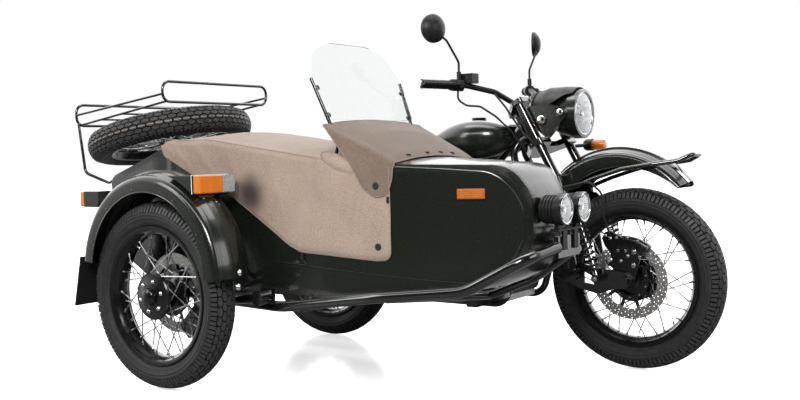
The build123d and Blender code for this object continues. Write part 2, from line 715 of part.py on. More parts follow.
def side_covers():
    made = []
    for side in (1, -1):
        y0, y1 = sorted((side * COVER_Y, side * (COVER_Y + 14)))
        made.append(side_plate([(300, 560), (520, 560), (560, 600), (540, 700), (300, 718)], y0, y1, 16))
    return group(*made)


REAR_FENDER_R = 372.0
COVER_Y = 136.0


def rear_fender():
    return arc_shell(0, AXLE_Z, REAR_FENDER_R, 30, 205, 88, 74, SHEET)


def rear_fender_solid():
    return Pos(0, 0, AXLE_Z) * Rot(90, 0, 0) * Cylinder(REAR_FENDER_R + FIT, 200)


def tail_lamp():
    """Lamp, plate and its carrier behind the rear fender."""
    carrier = side_plate([(-190, 640), (-190, 672), (-348, 700), (-390, 690), (-424, 540), (-404, 534), (-376, 600),
                          (-332, 612)], -60, 60)
    lamp = Pos(-386, 0, 700) * Rot(0, 90, 0) * Cylinder(42, 44)
    return fused(carrier, lamp) - rear_fender_solid()


def rear_swingarm():
    """Left arm, the shaft housing on the right, the final drive's case and the axle."""
    y = 112.0
    left = rod((PIVOT_R_X - 10, y, PIVOT_R_Z), (0, y, AXLE_Z), 17)
    shaft = rod((PIVOT_R_X - 10, -y, PIVOT_R_Z), (80, -y, AXLE_Z + 4), 25)
    cross = cross_rod(PIVOT_R_X - 14, PIVOT_R_Z, -PIVOT_HALF, PIVOT_HALF, 20)
    case = Pos(0, -y + 2, AXLE_Z) * Rot(90, 0, 0) * Cylinder(96, 64)
    cone = Pos(0, -y - 40, AXLE_Z) * Rot(90, 0, 0) * Cylinder(46, 30)
    nose = rod((70, -y, AXLE_Z + 3), (150, -y, AXLE_Z + 6), 36)
    axle = cross_rod(0, AXLE_Z, -y, y + 26, AXLE_R)
    spacer = cross_rod(0, AXLE_Z, HUB_HALF + 0.5, y, 17)
    spacer_r = cross_rod(0, AXLE_Z, -HUB_HALF - 0.5, -y + 30, 22)
    ears = []
    for side in (1, -1):
        y0, y1 = sorted((side * 104, side * (REAR_SHOCK_Y - 18 - FIT)))
        ears.append(side_plate([(40, 356), (110, 356), (92, 432), (48, 432)], y0, y1, 8))
    return fused(left, shaft, cross, case, cone, nose, axle, spacer, spacer_r, *ears)


REAR_SHOCK_Y = 186.0
REAR_SHOCK_TOP = (150.0, 700.0)
REAR_SHOCK_LOW = (70.0, 420.0)


def rear_shocks():
    made = []
    for side in (1, -1):
        y = side * REAR_SHOCK_Y
        made.append(coil_over((REAR_SHOCK_LOW[0], y, REAR_SHOCK_LOW[1]), (REAR_SHOCK_TOP[0], y, REAR_SHOCK_TOP[1]),
                              26, 5, 9, 15, 18))
    return group(*made)


def footrests():
    r = 10.0
    pieces = []
    for side in (1, -1):
        y0, y1 = sorted((side * (CRADLE_Y + 15 + FIT), side * (CRADLE_Y + 27)))
        pieces.append(fused(cross_rod(620, 300, side * 180, side * 290, 13), block(604, 656, y0, y1, 225, 326)))
    return group(*pieces)


# Sidecar chassis

SC_TUBE_R = 19.0
SC_IN_Y = -400.0
SC_LOW_Z = 302.0
SC_PLATE_X = 1548.0
SC_PLATE_Y0 = -748.0
SC_PLATE_Y1 = -606.0
SC_PLATE_Z = 530.0


def sidecar_outer_rail(grow):
    return tube([(180, -975, 318), (600, -998, 310), (1020, -1000, 370), (1330, -950, 402), (1524, -915, 508),
                 (SC_PLATE_X, SC_PLATE_Y0, SC_PLATE_Z)], SC_TUBE_R + grow, [500, 500, 200, 80])


def sidecar_inner_rail(grow):
    return tube([(180, SC_IN_Y, SC_LOW_Z), (1090, SC_IN_Y, SC_LOW_Z), (1310, SC_IN_Y - 40, 388),
                 (SC_PLATE_X, SC_PLATE_Y1, SC_PLATE_Z - 14)], SC_TUBE_R - 3 + grow, [250, 150])


def sidecar_frame():
    """An outer rail that bows round under the nose, an inner rail, cross tubes and the front plate."""
    crosses = [rod((x, -986, 312), (x, SC_IN_Y, SC_LOW_Z), SC_TUBE_R - 2) for x in (240, 690)]
    crosses.append(rod((1060, -994, 368), (1090, SC_IN_Y, SC_LOW_Z), SC_TUBE_R - 4) - tub_floor_clearance())
    plate = block(SC_PLATE_X - 7, SC_PLATE_X + 7, SC_PLATE_Y0 - 6, SC_PLATE_Y1 + 6, SC_PLATE_Z - 34, SC_PLATE_Z + 34)
    rests = [block(x - 20, x + 20, TUB_Y + y - 26, TUB_Y + y + 26, 306, 350) for x in (240, 690) for y in (-190, 190)]
    rests = [rest - tub_floor_clearance() for rest in rests]
    return fused(sidecar_outer_rail(0), sidecar_inner_rail(0), *crosses, *rests, plate)


def sidecar_mounts():
    """Two lower beams and two upper struts from the sidecar's frame to the bike's."""
    r = 13.0
    lug = 15.0
    low_front = block(1010, 1046, SC_IN_Y, -CRADLE_Y, 262, 298)
    front_drop = block(1006, 1050, SC_IN_Y - 26, SC_IN_Y + 26, 258, 320)
    low_rear = rod((350, SC_IN_Y, 314), (314, -CRADLE_Y, 352), lug)
    top_front = rod((1120, SC_IN_Y, 316), (1078, -CRADLE_Y + 10, 545), r)
    top_rear = rod((420, SC_IN_Y, 310), (290, -CRADLE_Y, 470), r)
    struts = [fused(low_front, front_drop), low_rear, top_front, top_rear]
    frame = bike_frame_tubes(FIT)
    rail = sidecar_inner_rail(FIT)
    made = []
    for strut in struts:
        cut = strut - rail - frame
        made.append(max(cut.solids(), key=lambda solid: solid.volume))
    return group(*made)


def sidecar_swingarm():
    """The leading pivot, the arm, the wheel's axle, the shock's lug and the brake's caliper."""
    caliper = block(-62, 62, -22, 24, 104, 168)
    slot = block(-70, 70, -RUNNING_GAP - DISC_T / 2, RUNNING_GAP + DISC_T / 2, 90, DISC_R + RUNNING_GAP)
    caliper = (caliper - slot).rotate(Axis.Y, 135)
    pieces = [
        Pos(SIDECAR_LEAD, -TRACK - DISC_Y, AXLE_Z) * caliper,
        block(SIDECAR_LEAD + 60, SIDECAR_LEAD + 112, -1048, -1036, 262, 336),
        cross_rod(560, 348, -1080, -1012, 26),
        tube([(560, -1040, 348), (380, -1040, 330), (SIDECAR_LEAD, -1040, AXLE_Z)], 20, 300),
        cross_rod(SIDECAR_LEAD, AXLE_Z, -1030, -1059, 30),
        cross_rod(SIDECAR_LEAD, AXLE_Z, -1059, -TRACK + HUB_HALF + 0.5, 17),
        cross_rod(SIDECAR_LEAD, AXLE_Z, -1030, -TRACK - HUB_HALF - 18, AXLE_R),
        block(536, 584, -1030, -1012, 322, 376),
        block(SIDECAR_LEAD + 78, SIDECAR_LEAD + 102, -1058, -1038, 334, 404),
        cross_rod(SIDECAR_LEAD + 90, SC_SHOCK_LOW_Z, -1050, SC_SHOCK_Y - 10 - FIT, 10),
    ]
    return fused(*pieces) - sidecar_outer_rail(FIT)


def sidecar_shock():
    """Between the swing arm and the tub's side, inside the fender."""
    top_x, top_z = SIDECAR_LEAD + 10, 640.0
    damper = coil_over((SIDECAR_LEAD + 90, SC_SHOCK_Y, SC_SHOCK_LOW_Z), (top_x, SC_SHOCK_Y, top_z), 20, 4.5, 8, 12, 10)
    stud = cross_rod(top_x, top_z, SC_SHOCK_Y, TUB_Y - 270, 10)
    return fused(damper, stud) - tub_solid(FIT)


SC_SHOCK_Y = -1016.0
SC_SHOCK_LOW_Z = 392.0


# Sidecar tub

# x and z on the side, x and z on the middle plane, corner radius
TUB_OUTLINE = [
    (0, 878, 0, 900, 36),
    (1425, 768, 1432, 798, 105),
    (1480, 690, 1500, 702, 105),
    (1480, 488, 1500, 474, 185),
    (1330, 412, 1335, 392, 180),
    (980, 352, 980, 338, 200),
    (-60, 352, -60, 344, 130),
    (-315, 480, -330, 480, 90),
    (-345, 762, -360, 780, 36),
]
# x and half width in plan, corner radius
TUB_PLAN = [(-460, 258, 0), (-50, 288, 500), (820, 283, 700), (1130, 243, 450), (1600, 72, 0)]


def grown(points, amount):
    """A clockwise outline with each corner moved out, so that its sides move by amount."""
    made = []
    count = len(points)
    for n, (x, z) in enumerate(points):
        px, pz = points[n - 1]
        nx, nz = points[(n + 1) % count]
        a = Vector(x - px, z - pz).normalized()
        b = Vector(nx - x, nz - z).normalized()
        na, nb = Vector(-a.Y, a.X), Vector(-b.Y, b.X)
        m = (na + nb) * (1 / (1 + na.dot(nb)))
        made.append((x + m.X * amount, z + m.Y * amount))
    return made


def crowned(outline, grow, half):
    """A body lofted across the tub from a side outline over the middle one to the other side's."""
    side = grown([(x, z) for x, z, _, _, _ in outline], grow)
    mid = grown([(x, z) for _, _, x, z, _ in outline], grow)
    radii = [r + grow for _, _, _, _, r in outline]
    sections = []
    for y, points in ((-half, side), (0, mid), (half, side)):
        wire = FilletPolyline(*points, radius=radii, close=True)
        plane = Plane(origin=(0, TUB_Y + y, 0), x_dir=(1, 0, 0), z_dir=(0, -1, 0))
        sections.append(plane * make_face(wire))
    return loft(sections)


def plan_prism(grow):
    """The tub's outline seen from above, as a tall prism."""
    halves = [(x, w + grow) for x, w, _ in TUB_PLAN]
    radii = [r for _, _, r in TUB_PLAN][1:-1]
    right = FilletPolyline(*[(x, TUB_Y - w) for x, w in halves], radius=radii)
    left = FilletPolyline(*[(x, TUB_Y + w) for x, w in halves], radius=radii)
    caps = [Line(right @ 1, left @ 1), Line(left @ 0, right @ 0)]
    return extrude(make_face([*right.edges(), *left.edges(), *caps]), amount=1400)


def tub_floor_clearance():
    return tub_solid(FIT)


def tub_solid(grow):
    return crowned(TUB_OUTLINE, grow, 300) & plan_prism(grow)


COCKPIT_CUT = [(1042, 1000), (1042, 775), (1005, 650), (900, 604), (745, 604), (560, 705), (380, 794), (150, 846),
               (70, 868), (70, 1000)]
BULKHEAD_X = 40.0
LID_SKIN = 4.0
LID_GAP = 0.4
LID_FRONT_X = -17.0
LID_REAR_X = -318.0
HINGE_X = -11.0
HINGE_Z = 898.0
HINGE_R = 6.0
HINGE_PIN_R = 3.0
HINGE_HALF = 11.0
HINGE_YS = (TUB_Y - 190, TUB_Y + 190)


def hinge_base(y):
    """Two lugs on the tub's rim with the lid's hinge pin between them."""
    pieces = [cross_rod(HINGE_X, HINGE_Z, y - HINGE_HALF - 10, y + HINGE_HALF + 10, HINGE_PIN_R)]
    for side in (-1, 1):
        near, far = sorted((y + side * (HINGE_HALF + FIT), y + side * (HINGE_HALF + 10)))
        pieces.append(cross_rod(HINGE_X, HINGE_Z, near, far, HINGE_R))
        pieces.append(block(HINGE_X - 4, HINGE_X + 4, near, far, 883, HINGE_Z))
    return fused(*pieces)


def hinge_leaf(y):
    """The lid's side of a hinge, a strap with an eye round the pin."""
    strap = side_plate([(-46, 872), (-46, 887), (HINGE_X, 903), (HINGE_X, 893)], y - HINGE_HALF, y + HINGE_HALF)
    eye = cross_rod(HINGE_X, HINGE_Z, y - HINGE_HALF, y + HINGE_HALF, HINGE_R)
    pin = cross_rod(HINGE_X, HINGE_Z, y - HINGE_HALF - 1, y + HINGE_HALF + 1, HINGE_PIN_R + FIT)
    return fused(strap, eye) - tub_solid(LID_GAP) - pin


def sidecar_body():
    shell = tub_solid(0) - tub_solid(-TUB_WALL)
    cockpit = side_plate(COCKPIT_CUT, TUB_Y - 320, TUB_Y + 320, 14)
    hatch = block(LID_REAR_X, LID_FRONT_X, TUB_Y - 248, TUB_Y + 248, 700, 1000)
    bulkhead = block(BULKHEAD_X, BULKHEAD_X + TUB_WALL, TUB_Y - 300, TUB_Y + 300, 300, 1000) & tub_solid(-TUB_WALL / 2)
    tub = (shell + bulkhead) - cockpit - hatch
    return fused(tub, *[hinge_base(y) for y in HINGE_YS])


def trunk_lid():
    """The curved lid of the luggage space, which lies on its frame with a small gap."""
    band = tub_solid(LID_GAP + LID_SKIN) - tub_solid(LID_GAP)
    lid = band & block(LID_REAR_X - 14, LID_FRONT_X, TUB_Y - 262, TUB_Y + 262, 690, 1000)
    return fused(lid, *[hinge_leaf(y) for y in HINGE_YS])


SPARE_X = -292.0
SPARE_Y = TUB_Y + 10
SPARE_Z = 934.0
SPARE_TILT = 12.6


def lay_spare(shape):
    """Puts a wheel made about Y flat on the lid's carrier."""
    return Pos(SPARE_X, SPARE_Y, SPARE_Z) * Rot(0, -SPARE_TILT, 0) * Rot(90, 0, 0) * shape


def spare_carrier():
    """The post and feet between the lid and the spare wheel's hub."""
    t = radians(SPARE_TILT)
    up = Vector(-sin(t), 0, cos(t))
    hub_under = Vector(SPARE_X, SPARE_Y, SPARE_Z) - up * (HUB_HALF + FIT)
    foot = hub_under - up * 70
    post = rod(tuple(foot), tuple(hub_under), 24)
    pin = rod(tuple(hub_under), tuple(hub_under + up * (HUB_HALF * 2 + 14)), AXLE_R - 1)
    spread = rod((foot.X - 10, SPARE_Y - 130, foot.Z + 8), (foot.X - 10, SPARE_Y + 130, foot.Z + 8), 12)
    cut = tub_solid(LID_GAP + LID_SKIN + FIT)
    nut = rod(tuple(hub_under + up * (HUB_HALF * 2 + 2 * FIT)), tuple(hub_under + up * (HUB_HALF * 2 + 14)), 20)
    return fused(post, pin, spread, nut) - cut


RACK_HALF = 286.0
RACK_FRONT_X = 6.0


def luggage_rack():
    """Front and rear hoops across the tub, joined by two rails a side, with slats, and legs to the lid."""
    r = 6.0
    out, inn = TUB_Y - RACK_HALF, TUB_Y + RACK_HALF
    fx, rx = RACK_FRONT_X, RACK_REAR_X + 6
    front_low, rear_low = 1060.0, 986.0
    slope = (front_low - rear_low) / (fx - rx)
    pieces = []
    for x, low, high in ((fx, front_low, 1138), (rx, rear_low, 1072)):
        hoop = FilletPolyline((out, low), (out, high), (inn, high), (inn, low), radius=34, close=True)
        path = Plane(origin=(x, 0, 0), x_dir=(0, 1, 0), z_dir=(1, 0, 0)) * hoop
        pieces.append(sweep(Plane(origin=path @ 0, z_dir=path % 0) * Circle(r), path=path))
    for y in (out, inn):
        pieces.append(rod((rx, y, 1029), (fx, y, 1090), r - 1))
    for y in (TUB_Y - RACK_HALF + 22, TUB_Y + RACK_HALF - 22):
        pieces.append(rod((rx, y, rear_low + 3), (fx, y, front_low + 3), r - 1))
    for x in (-140, -270, -400):
        z = rear_low + 3 + (x - rx) * slope
        pieces.append(cross_rod(x, z, TUB_Y - RACK_HALF + 22, TUB_Y + RACK_HALF - 22, r - 1.5))
    for side in (-1, 1):
        y = TUB_Y + side * RACK_HALF
        foot_y = TUB_Y + side * 235
        pieces.append(tube([(rx, y - side * 8, 1000), (rx + 34, y - side * 8, 790), (-400, foot_y, 745),
                            (-318, foot_y, 782)], r, [34, 20]))
    return fused(*pieces) - tub_solid(LID_GAP + LID_SKIN + FIT)


# Sidecar trim

SC_FENDER_R = 378.0
SC_FENDER_X = SIDECAR_LEAD + 8
SC_FENDER_Z = 418.0
SIDE_LAMP_X = 396.0
SIDE_LAMP_Z0 = 716.0
SIDE_LAMP_Z1 = 779.0


def sidecar_fender():
    """The wheel's fender, with a stay to the tub's frame at each end."""
    shell = arc_shell(SC_FENDER_X, SC_FENDER_Z, SC_FENDER_R, 1, 173, FENDER_HALF, 74, SHEET)
    rib = arc_band(SC_FENDER_X, SC_FENDER_Z, SC_FENDER_R, 3, 171, 18, 4)
    inner = FENDER_HALF - SHEET
    stays = [
        rod((462, inner + 1, 452), (462, TRACK + TUB_Y - 260, 400), 9),
        rod((30, inner + 1, 716), (30, TRACK + TUB_Y - 260, 716), 9),
    ]
    return Pos(0, -TRACK, 0) * fused(shell, rib, *stays) - tub_solid(FIT)


def fender_solid():
    crown = Cylinder(SC_FENDER_R + FIT, FENDER_HALF * 2 + 20) + Cylinder(SC_FENDER_R + 4 + FIT, 37)
    return Pos(SC_FENDER_X, -TRACK, SC_FENDER_Z) * Rot(90, 0, 0) * crown


def mudflap():
    y0, y1 = FENDER_OUT_Y + 4, FENDER_OUT_Y + 2 * FENDER_HALF - 4
    return side_plate([(-224, 475), (-219.3, 475), (-223, 454), (-262, 285), (-268, 285), (-228, 454)], y0, y1)


def fender_lamp_boxes():
    """The wedge behind the front lenses and the box before the rear one, cut to the fender's crown."""
    front = side_plate([(270, 779), (SIDE_LAMP_X, 779), (SIDE_LAMP_X, 712), (330, 700)], -1206, -1034)
    rear = side_plate([(-208, 724), (-208, 664), (-120, 664), (-120, 724)], -1204, -1098)
    lamps = [front - fender_solid(), rear - fender_solid()]
    return group(*lamps)


def lens_box(x0, x1, y0, y1, z0, z1):
    return fillet(block(x0, x1, y0, y1, z0, z1).edges().filter_by(Axis.X), 5)


def amber_lenses():
    front = lens_box(SIDE_LAMP_X + FIT, SIDE_LAMP_X + 34, -1204, -1094, SIDE_LAMP_Z0, SIDE_LAMP_Z1)
    rear = lens_box(-234, -208 - FIT, -1202, -1100, 666, 722)
    return group(front, rear)


def clear_lens():
    return lens_box(SIDE_LAMP_X + FIT, SIDE_LAMP_X + 34, -1094 + FIT, -1036, SIDE_LAMP_Z0, SIDE_LAMP_Z1)


def tub_side(x):
    """The tub's half width at x, along its plan."""
    for (x0, w0, _), (x1, w1, _) in zip(TUB_PLAN, TUB_PLAN[1:]):
        if x0 <= x <= x1:
            return w0 + (w1 - w0) * (x - x0) / (x1 - x0)
    return TUB_PLAN[-1][1]


def side_reflector():
    x, z = 1316.0, 704.0
    lean = degrees(atan2(tub_side(x - 60) - tub_side(x + 60), 120))
    plate = Box(90, 9, 33)
    return Pos(x, TUB_Y - tub_side(x) - 5, z) * Rot(0, 0, lean) * plate


# Fabric covers, each a skin a little proud of the tub
TONNEAU_TOP = [
    (0, 884, 0, 906, 12), (40, 904, 60, 918, 60), (240, 900, 240, 932, 200), (820, 812, 820, 853, 300),
    (1056, 798, 1056, 826, 6), (1056, 300, 1056, 300, 6), (0, 300, 0, 300, 12),
]
TONNEAU_HEM = [(-20, 1000), (-20, 880), (36, 838), (147, 785), (372, 694), (512, 607), (640, 526), (690, 506),
               (813, 500), (1000, 486), (1050, 492), (1050, 1000)]
CLOTH = 3.0
TONNEAU_GAP = 0.6


def cover(outline, hem, gap, bend):
    outer = crowned(outline, gap + CLOTH, 320) & plan_prism(gap + CLOTH)
    inner = crowned(outline, gap, 320) & plan_prism(gap)
    return (outer - inner) & side_plate(hem, TUB_Y - 330, TUB_Y + 330, bend)


def tonneau():
    rear_rim = tub_solid(FIT) & block(-60, 30, TUB_Y - 320, TUB_Y + 320, 700, 1000)
    return cover(TONNEAU_TOP, TONNEAU_HEM, TONNEAU_GAP, 8) - rear_rim


APRON_TOP = [
    (790, 936, 790, 958, 8), (895, 882, 925, 912, 120), (1078, 792, 1078, 821, 10), (1078, 500, 1078, 500, 10),
    (790, 500, 790, 500, 10),
]
APRON_HEM = [(806, 1000), (812, 940), (856, 874), (905, 813), (929, 768), (957, 722), (1000, 696), (1046, 704),
             (1062, 752), (1066, 790), (1070, 800), (1070, 1000)]
APRON_GAP = TONNEAU_GAP + CLOTH + 0.4


def screen_apron():
    return cover(APRON_TOP, APRON_HEM, APRON_GAP, 6)


SCREEN_TILT = 22.0
SCREEN_X = 806.0
SCREEN_Y = -709.0
SCREEN_Z = 958.0
SCREEN_T = 4.0
SCREEN_LOW_HALF = 240.0
SCREEN_WIDE_HALF = 262.0
ROD_R = 6.5


def screen_point(side_y, along, back):
    """A point by its distance from the screen's middle, up its slope and behind its rear face."""
    t = radians(SCREEN_TILT)
    return (SCREEN_X - along * sin(t) - back * cos(t), SCREEN_Y + side_y, SCREEN_Z + along * cos(t) - back * sin(t))


def windscreen():
    """A flat glazing with a rounded top, leaning back."""
    low, wide = SCREEN_LOW_HALF, SCREEN_WIDE_HALF
    outline = [(-low, 0), (-wide, 160), (-212, 266), (-112, 298), (112, 298), (212, 266), (wide, 160), (low, 0)]
    wire = FilletPolyline(*outline, radius=[16, 80, 80, 140, 140, 80, 80, 16], close=True)
    t = radians(SCREEN_TILT)
    plane = Plane(origin=(SCREEN_X, SCREEN_Y, SCREEN_Z), x_dir=(0, 1, 0), z_dir=(cos(t), 0, sin(t)))
    return extrude(plane * make_face(wire), amount=SCREEN_T)


def screen_frame():
    """Two side rods behind the glazing, each with two clamp blocks and a foot on the tub's rim."""
    made = []
    for side in (1, -1):
        back = ROD_R + FIT
        low = screen_point(side * 234, -62, back)
        high = screen_point(side * 258, 158, back)
        pieces = [rod(low, high, ROD_R)]
        for along in (18, 120):
            y = side * (236 + along * 0.1)
            pieces.append(rod(screen_point(y, along, FIT), screen_point(y, along, 12), 9))
        foot = (low[0] + 16, low[1] + side * 34, 812)
        pieces.append(tube([low, (low[0] + 14, low[1] + side * 8, low[2] - 30), foot], ROD_R, 12))
        made.append(fused(*pieces) - tonneau_block() - tub_solid(TONNEAU_GAP + FIT))
    return group(*[max(piece.solids(), key=lambda solid: solid.volume) for piece in made])


def tonneau_block():
    """Everything inside the apron and tonneau's outer faces, with a small gap."""
    grow = TONNEAU_GAP + CLOTH + FIT
    return crowned(TONNEAU_TOP, grow, 320) & plan_prism(grow)


FOG_X = 1584.0
FOG_Y = (-754.0, -627.0)
FOG_Z = 650.0
FOG_R = 50.0
FOG_CAN_R = 43.0
FOG_DEPTH = 74.0
FOG_BAR_X = 1550.0
FOG_BAR_Z = 585.0


def fog_lamps():
    """Two cans with cooling rings, on a bar that stands on the frame's front plate."""
    pieces = []
    seat_depth = 10.0
    for y in FOG_Y:
        can = Pos(FOG_X - FOG_DEPTH / 2, y, FOG_Z) * Rot(0, 90, 0) * Cylinder(FOG_CAN_R, FOG_DEPTH)
        rim = Pos(FOG_X - 11, y, FOG_Z) * Rot(0, 90, 0) * Cylinder(FOG_R, 22)
        rings = [Pos(FOG_X - 34 - 11 * n, y, FOG_Z) * Rot(0, 90, 0) * Cylinder(FOG_CAN_R + 3, 4) for n in range(4)]
        seat = Pos(FOG_X - seat_depth / 2, y, FOG_Z) * Rot(0, 90, 0) * Cylinder(FOG_R - 4, seat_depth)
        pieces.append(fused(can, rim, *rings) - seat)
        pieces.append(rod((FOG_BAR_X, y, FOG_Z - FOG_CAN_R + 4), (FOG_BAR_X, y, FOG_BAR_Z), 7))
    bar = block(FOG_BAR_X - 16, FOG_BAR_X + 16, FOG_Y[0] - 16, FOG_Y[1] + 16, FOG_BAR_Z - 3, FOG_BAR_Z + 3)
    face = SC_PLATE_X + 7 + FIT
    feet = [block(face, face + 6, y - 14, y + 14, SC_PLATE_Z - 10, FOG_BAR_Z) for y in (-716.0, -638.0)]
    return fused(*pieces, bar, *feet)


def fog_lenses():
    return group(*[Pos(FOG_X - 4.85, y, FOG_Z) * Rot(0, 90, 0) * Cylinder(FOG_R - 4 - FIT, 9.7) for y in FOG_Y])


WHEEL = wheel()
TYRE = tyre()
FRONT = Pos(WHEELBASE, 0, AXLE_Z)
REAR = Pos(0, 0, AXLE_Z)
SIDE = Pos(SIDECAR_LEAD, -TRACK, AXLE_Z)

NODES = {
    "front_tyre": lambda: FRONT * TYRE,
    "front_wheel": lambda: FRONT * WHEEL,
    "front_disc": lambda: FRONT * brake_disc(),
    "rear_tyre": lambda: REAR * TYRE,
    "rear_wheel": lambda: REAR * WHEEL,
    "sidecar_tyre": lambda: SIDE * TYRE,
    "sidecar_wheel": lambda: SIDE * WHEEL,
    "sidecar_disc": lambda: SIDE * Rot(0, 0, 180) * brake_disc(),
    "spare_tyre": lambda: lay_spare(TYRE),
    "spare_wheel": lambda: lay_spare(WHEEL),
    "front_fork": front_fork,
    "leading_link": leading_link,
    "front_shocks": front_shocks,
    "brake_caliper": brake_caliper,
    "front_fender": front_fender,
    "fender_guard": fender_guard,
    "headlamp_shell": headlamp_shell,
    "headlamp_lens": headlamp_lens,
    "instrument_cover": instrument_cover,
    "handlebar": handlebar,
    "control_cables": control_cables,
    "grips": grips,
    "mirrors": mirrors,
    "front_signal_cup": front_signal_cup,
    "front_signal_lens": front_signal_lens,
    "rear_signal_cup": rear_signal_cup,
    "rear_signal_lens": rear_signal_lens,
    "bike_frame": bike_frame,
    "engine_case": engine_case,
    "engine_cylinders": engine_cylinders,
    "intakes": intakes,
    "exhaust": exhaust,
    "fuel_tank": fuel_tank,
    "seat": seat,
    "side_covers": side_covers,
    "rear_fender": rear_fender,
    "tail_lamp": tail_lamp,
    "rear_swingarm": rear_swingarm,
    "rear_shocks": rear_shocks,
    "footrests": footrests,
    "sidecar_frame": sidecar_frame,
    "sidecar_mounts": sidecar_mounts,
    "sidecar_swingarm": sidecar_swingarm,
    "sidecar_shock": sidecar_shock,
    "sidecar_body": sidecar_body,
    "trunk_lid": trunk_lid,
    "spare_carrier": spare_carrier,
    "luggage_rack": luggage_rack,
    "sidecar_fender": sidecar_fender,
    "mudflap": mudflap,
    "fender_lamp_boxes": fender_lamp_boxes,
    "amber_lenses": amber_lenses,
    "clear_lens": clear_lens,
    "side_reflector": side_reflector,
    "tonneau": tonneau,
    "screen_apron": screen_apron,
    "windscreen": windscreen,
    "screen_frame": screen_frame,
    "fog_lamps": fog_lamps,
    "fog_lenses": fog_lenses,
}

os.makedirs("parts", exist_ok=True)
for name, make in NODES.items():
    shape = Pos(-ORIGIN_X, -ORIGIN_Y, 0) * make()
    export_step(shape, f"parts/{name}.step")
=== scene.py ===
"""Looks of the motorcycle with a sidecar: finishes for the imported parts, and detailed pieces for the tyres,
wheels, springs, lamps, seat and canvas. Metres, or mm where at() or lathe() turns them into metres.
A side of -1 is the near one, as the photo shows it, and 1 is the far one."""

from math import asin, atan2, ceil, cos, exp, hypot, pi, radians, sin, tan

import bmesh
import bpy
from mathutils import Matrix, Vector, noise
from mathutils.bvhtree import BVHTree


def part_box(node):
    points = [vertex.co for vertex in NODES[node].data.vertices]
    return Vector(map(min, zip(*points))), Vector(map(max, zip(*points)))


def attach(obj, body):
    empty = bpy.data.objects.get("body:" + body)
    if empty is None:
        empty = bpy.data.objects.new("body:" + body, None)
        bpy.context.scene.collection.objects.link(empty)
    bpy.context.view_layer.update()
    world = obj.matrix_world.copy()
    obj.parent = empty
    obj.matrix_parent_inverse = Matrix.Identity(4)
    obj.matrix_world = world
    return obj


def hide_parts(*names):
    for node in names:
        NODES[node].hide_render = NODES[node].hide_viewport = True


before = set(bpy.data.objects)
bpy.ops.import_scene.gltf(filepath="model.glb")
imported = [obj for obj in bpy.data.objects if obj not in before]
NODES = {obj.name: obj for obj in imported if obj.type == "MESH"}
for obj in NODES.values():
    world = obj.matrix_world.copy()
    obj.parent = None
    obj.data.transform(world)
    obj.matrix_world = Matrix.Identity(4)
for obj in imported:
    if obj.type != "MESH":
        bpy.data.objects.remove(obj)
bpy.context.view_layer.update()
MM = 0.001


def middle(node):
    """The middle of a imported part's box."""
    low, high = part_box(node)
    return (low + high) / 2


REAR_AXLE = middle("rear_tyre")
FRONT_AXLE = middle("front_tyre")
SIDE_AXLE = middle("sidecar_tyre")
TYRE_R = (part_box("rear_tyre")[1].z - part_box("rear_tyre")[0].z) / 2 / MM
AXLE_Z = FRONT_AXLE.z / MM
NEAR = Vector((0, -1, 0))
FAR = Vector((0, 1, 0))
AHEAD = Vector((1, 0, 0))
BACK = Vector((-1, 0, 0))
DOWN = Vector((0, 0, -1))


def at(x, y, z):
    """A place given in mm from the point of the floor under the bike's rear axle, in the row frame."""
    return Vector((REAR_AXLE.x + x * MM, REAR_AXLE.y + y * MM, z * MM))


def round_at(centre, radius, angle, y=0.0):
    """A place radius mm from the Y line through centre, at an angle up from ahead, and y mm along it."""
    return at(centre[0] + radius * cos(angle), centre[1] + y, centre[2] + radius * sin(angle))


def hub_place(radius, angle, y=0.0):
    """A place in a wheel's own frame, radius mm from its axle and y mm along it."""
    return Vector((radius * cos(angle), y, radius * sin(angle))) * MM


# Mesh building

class Shape:
    """Vertices and faces in metres, with a material number for each face."""

    def __init__(self):
        self.verts, self.faces, self.marks = [], [], []

    def add(self, verts, faces, mark=0):
        base = len(self.verts)
        self.verts += [Vector(v) for v in verts]
        self.faces += [tuple(base + i for i in f) for f in faces]
        self.marks += [mark] * len(faces)

    def skin(self, rings, ends=(True, True), mark=0, loop=False):
        """Faces over rings of equal length, with the first and the last closed where ends says so."""
        self.add(*ring_strip(rings, ends, loop), mark)

    def moved(self, matrix):
        made = Shape()
        made.verts = [matrix @ v for v in self.verts]
        made.faces, made.marks = list(self.faces), list(self.marks)
        return made

    def join(self, other, matrix=None, mark=None):
        verts = other.verts if matrix is None else [matrix @ v for v in other.verts]
        base = len(self.verts)
        self.verts += list(verts)
        self.faces += [tuple(base + i for i in f) for f in other.faces]
        self.marks += list(other.marks) if mark is None else [mark] * len(other.faces)


def square_to(axis):
    """Two unit vectors square to an axis and to each other."""
    axis = axis.normalized()
    side = axis.cross(Vector((0, 0, 1)) if abs(axis.z) < 0.9 else AHEAD).normalized()
    return side, axis.cross(side)


def ring_strip(rings, closed_end=(True, True), loop=False):
    """Verts and faces over rings of equal length."""
    count = len(rings[0])
    verts = [v for ring in rings for v in ring]
    faces = []
    spans = len(rings) if loop else len(rings) - 1
    for k in range(spans):
        a, b = k * count, ((k + 1) % len(rings)) * count
        for n in range(count):
            m = (n + 1) % count
            faces.append((a + n, a + m, b + m, b + n))
    if not loop and closed_end[0]:
        faces.append(tuple(range(count))[::-1])
    if not loop and closed_end[1]:
        faces.append(tuple(range((len(rings) - 1) * count, len(rings) * count)))
    return verts, faces


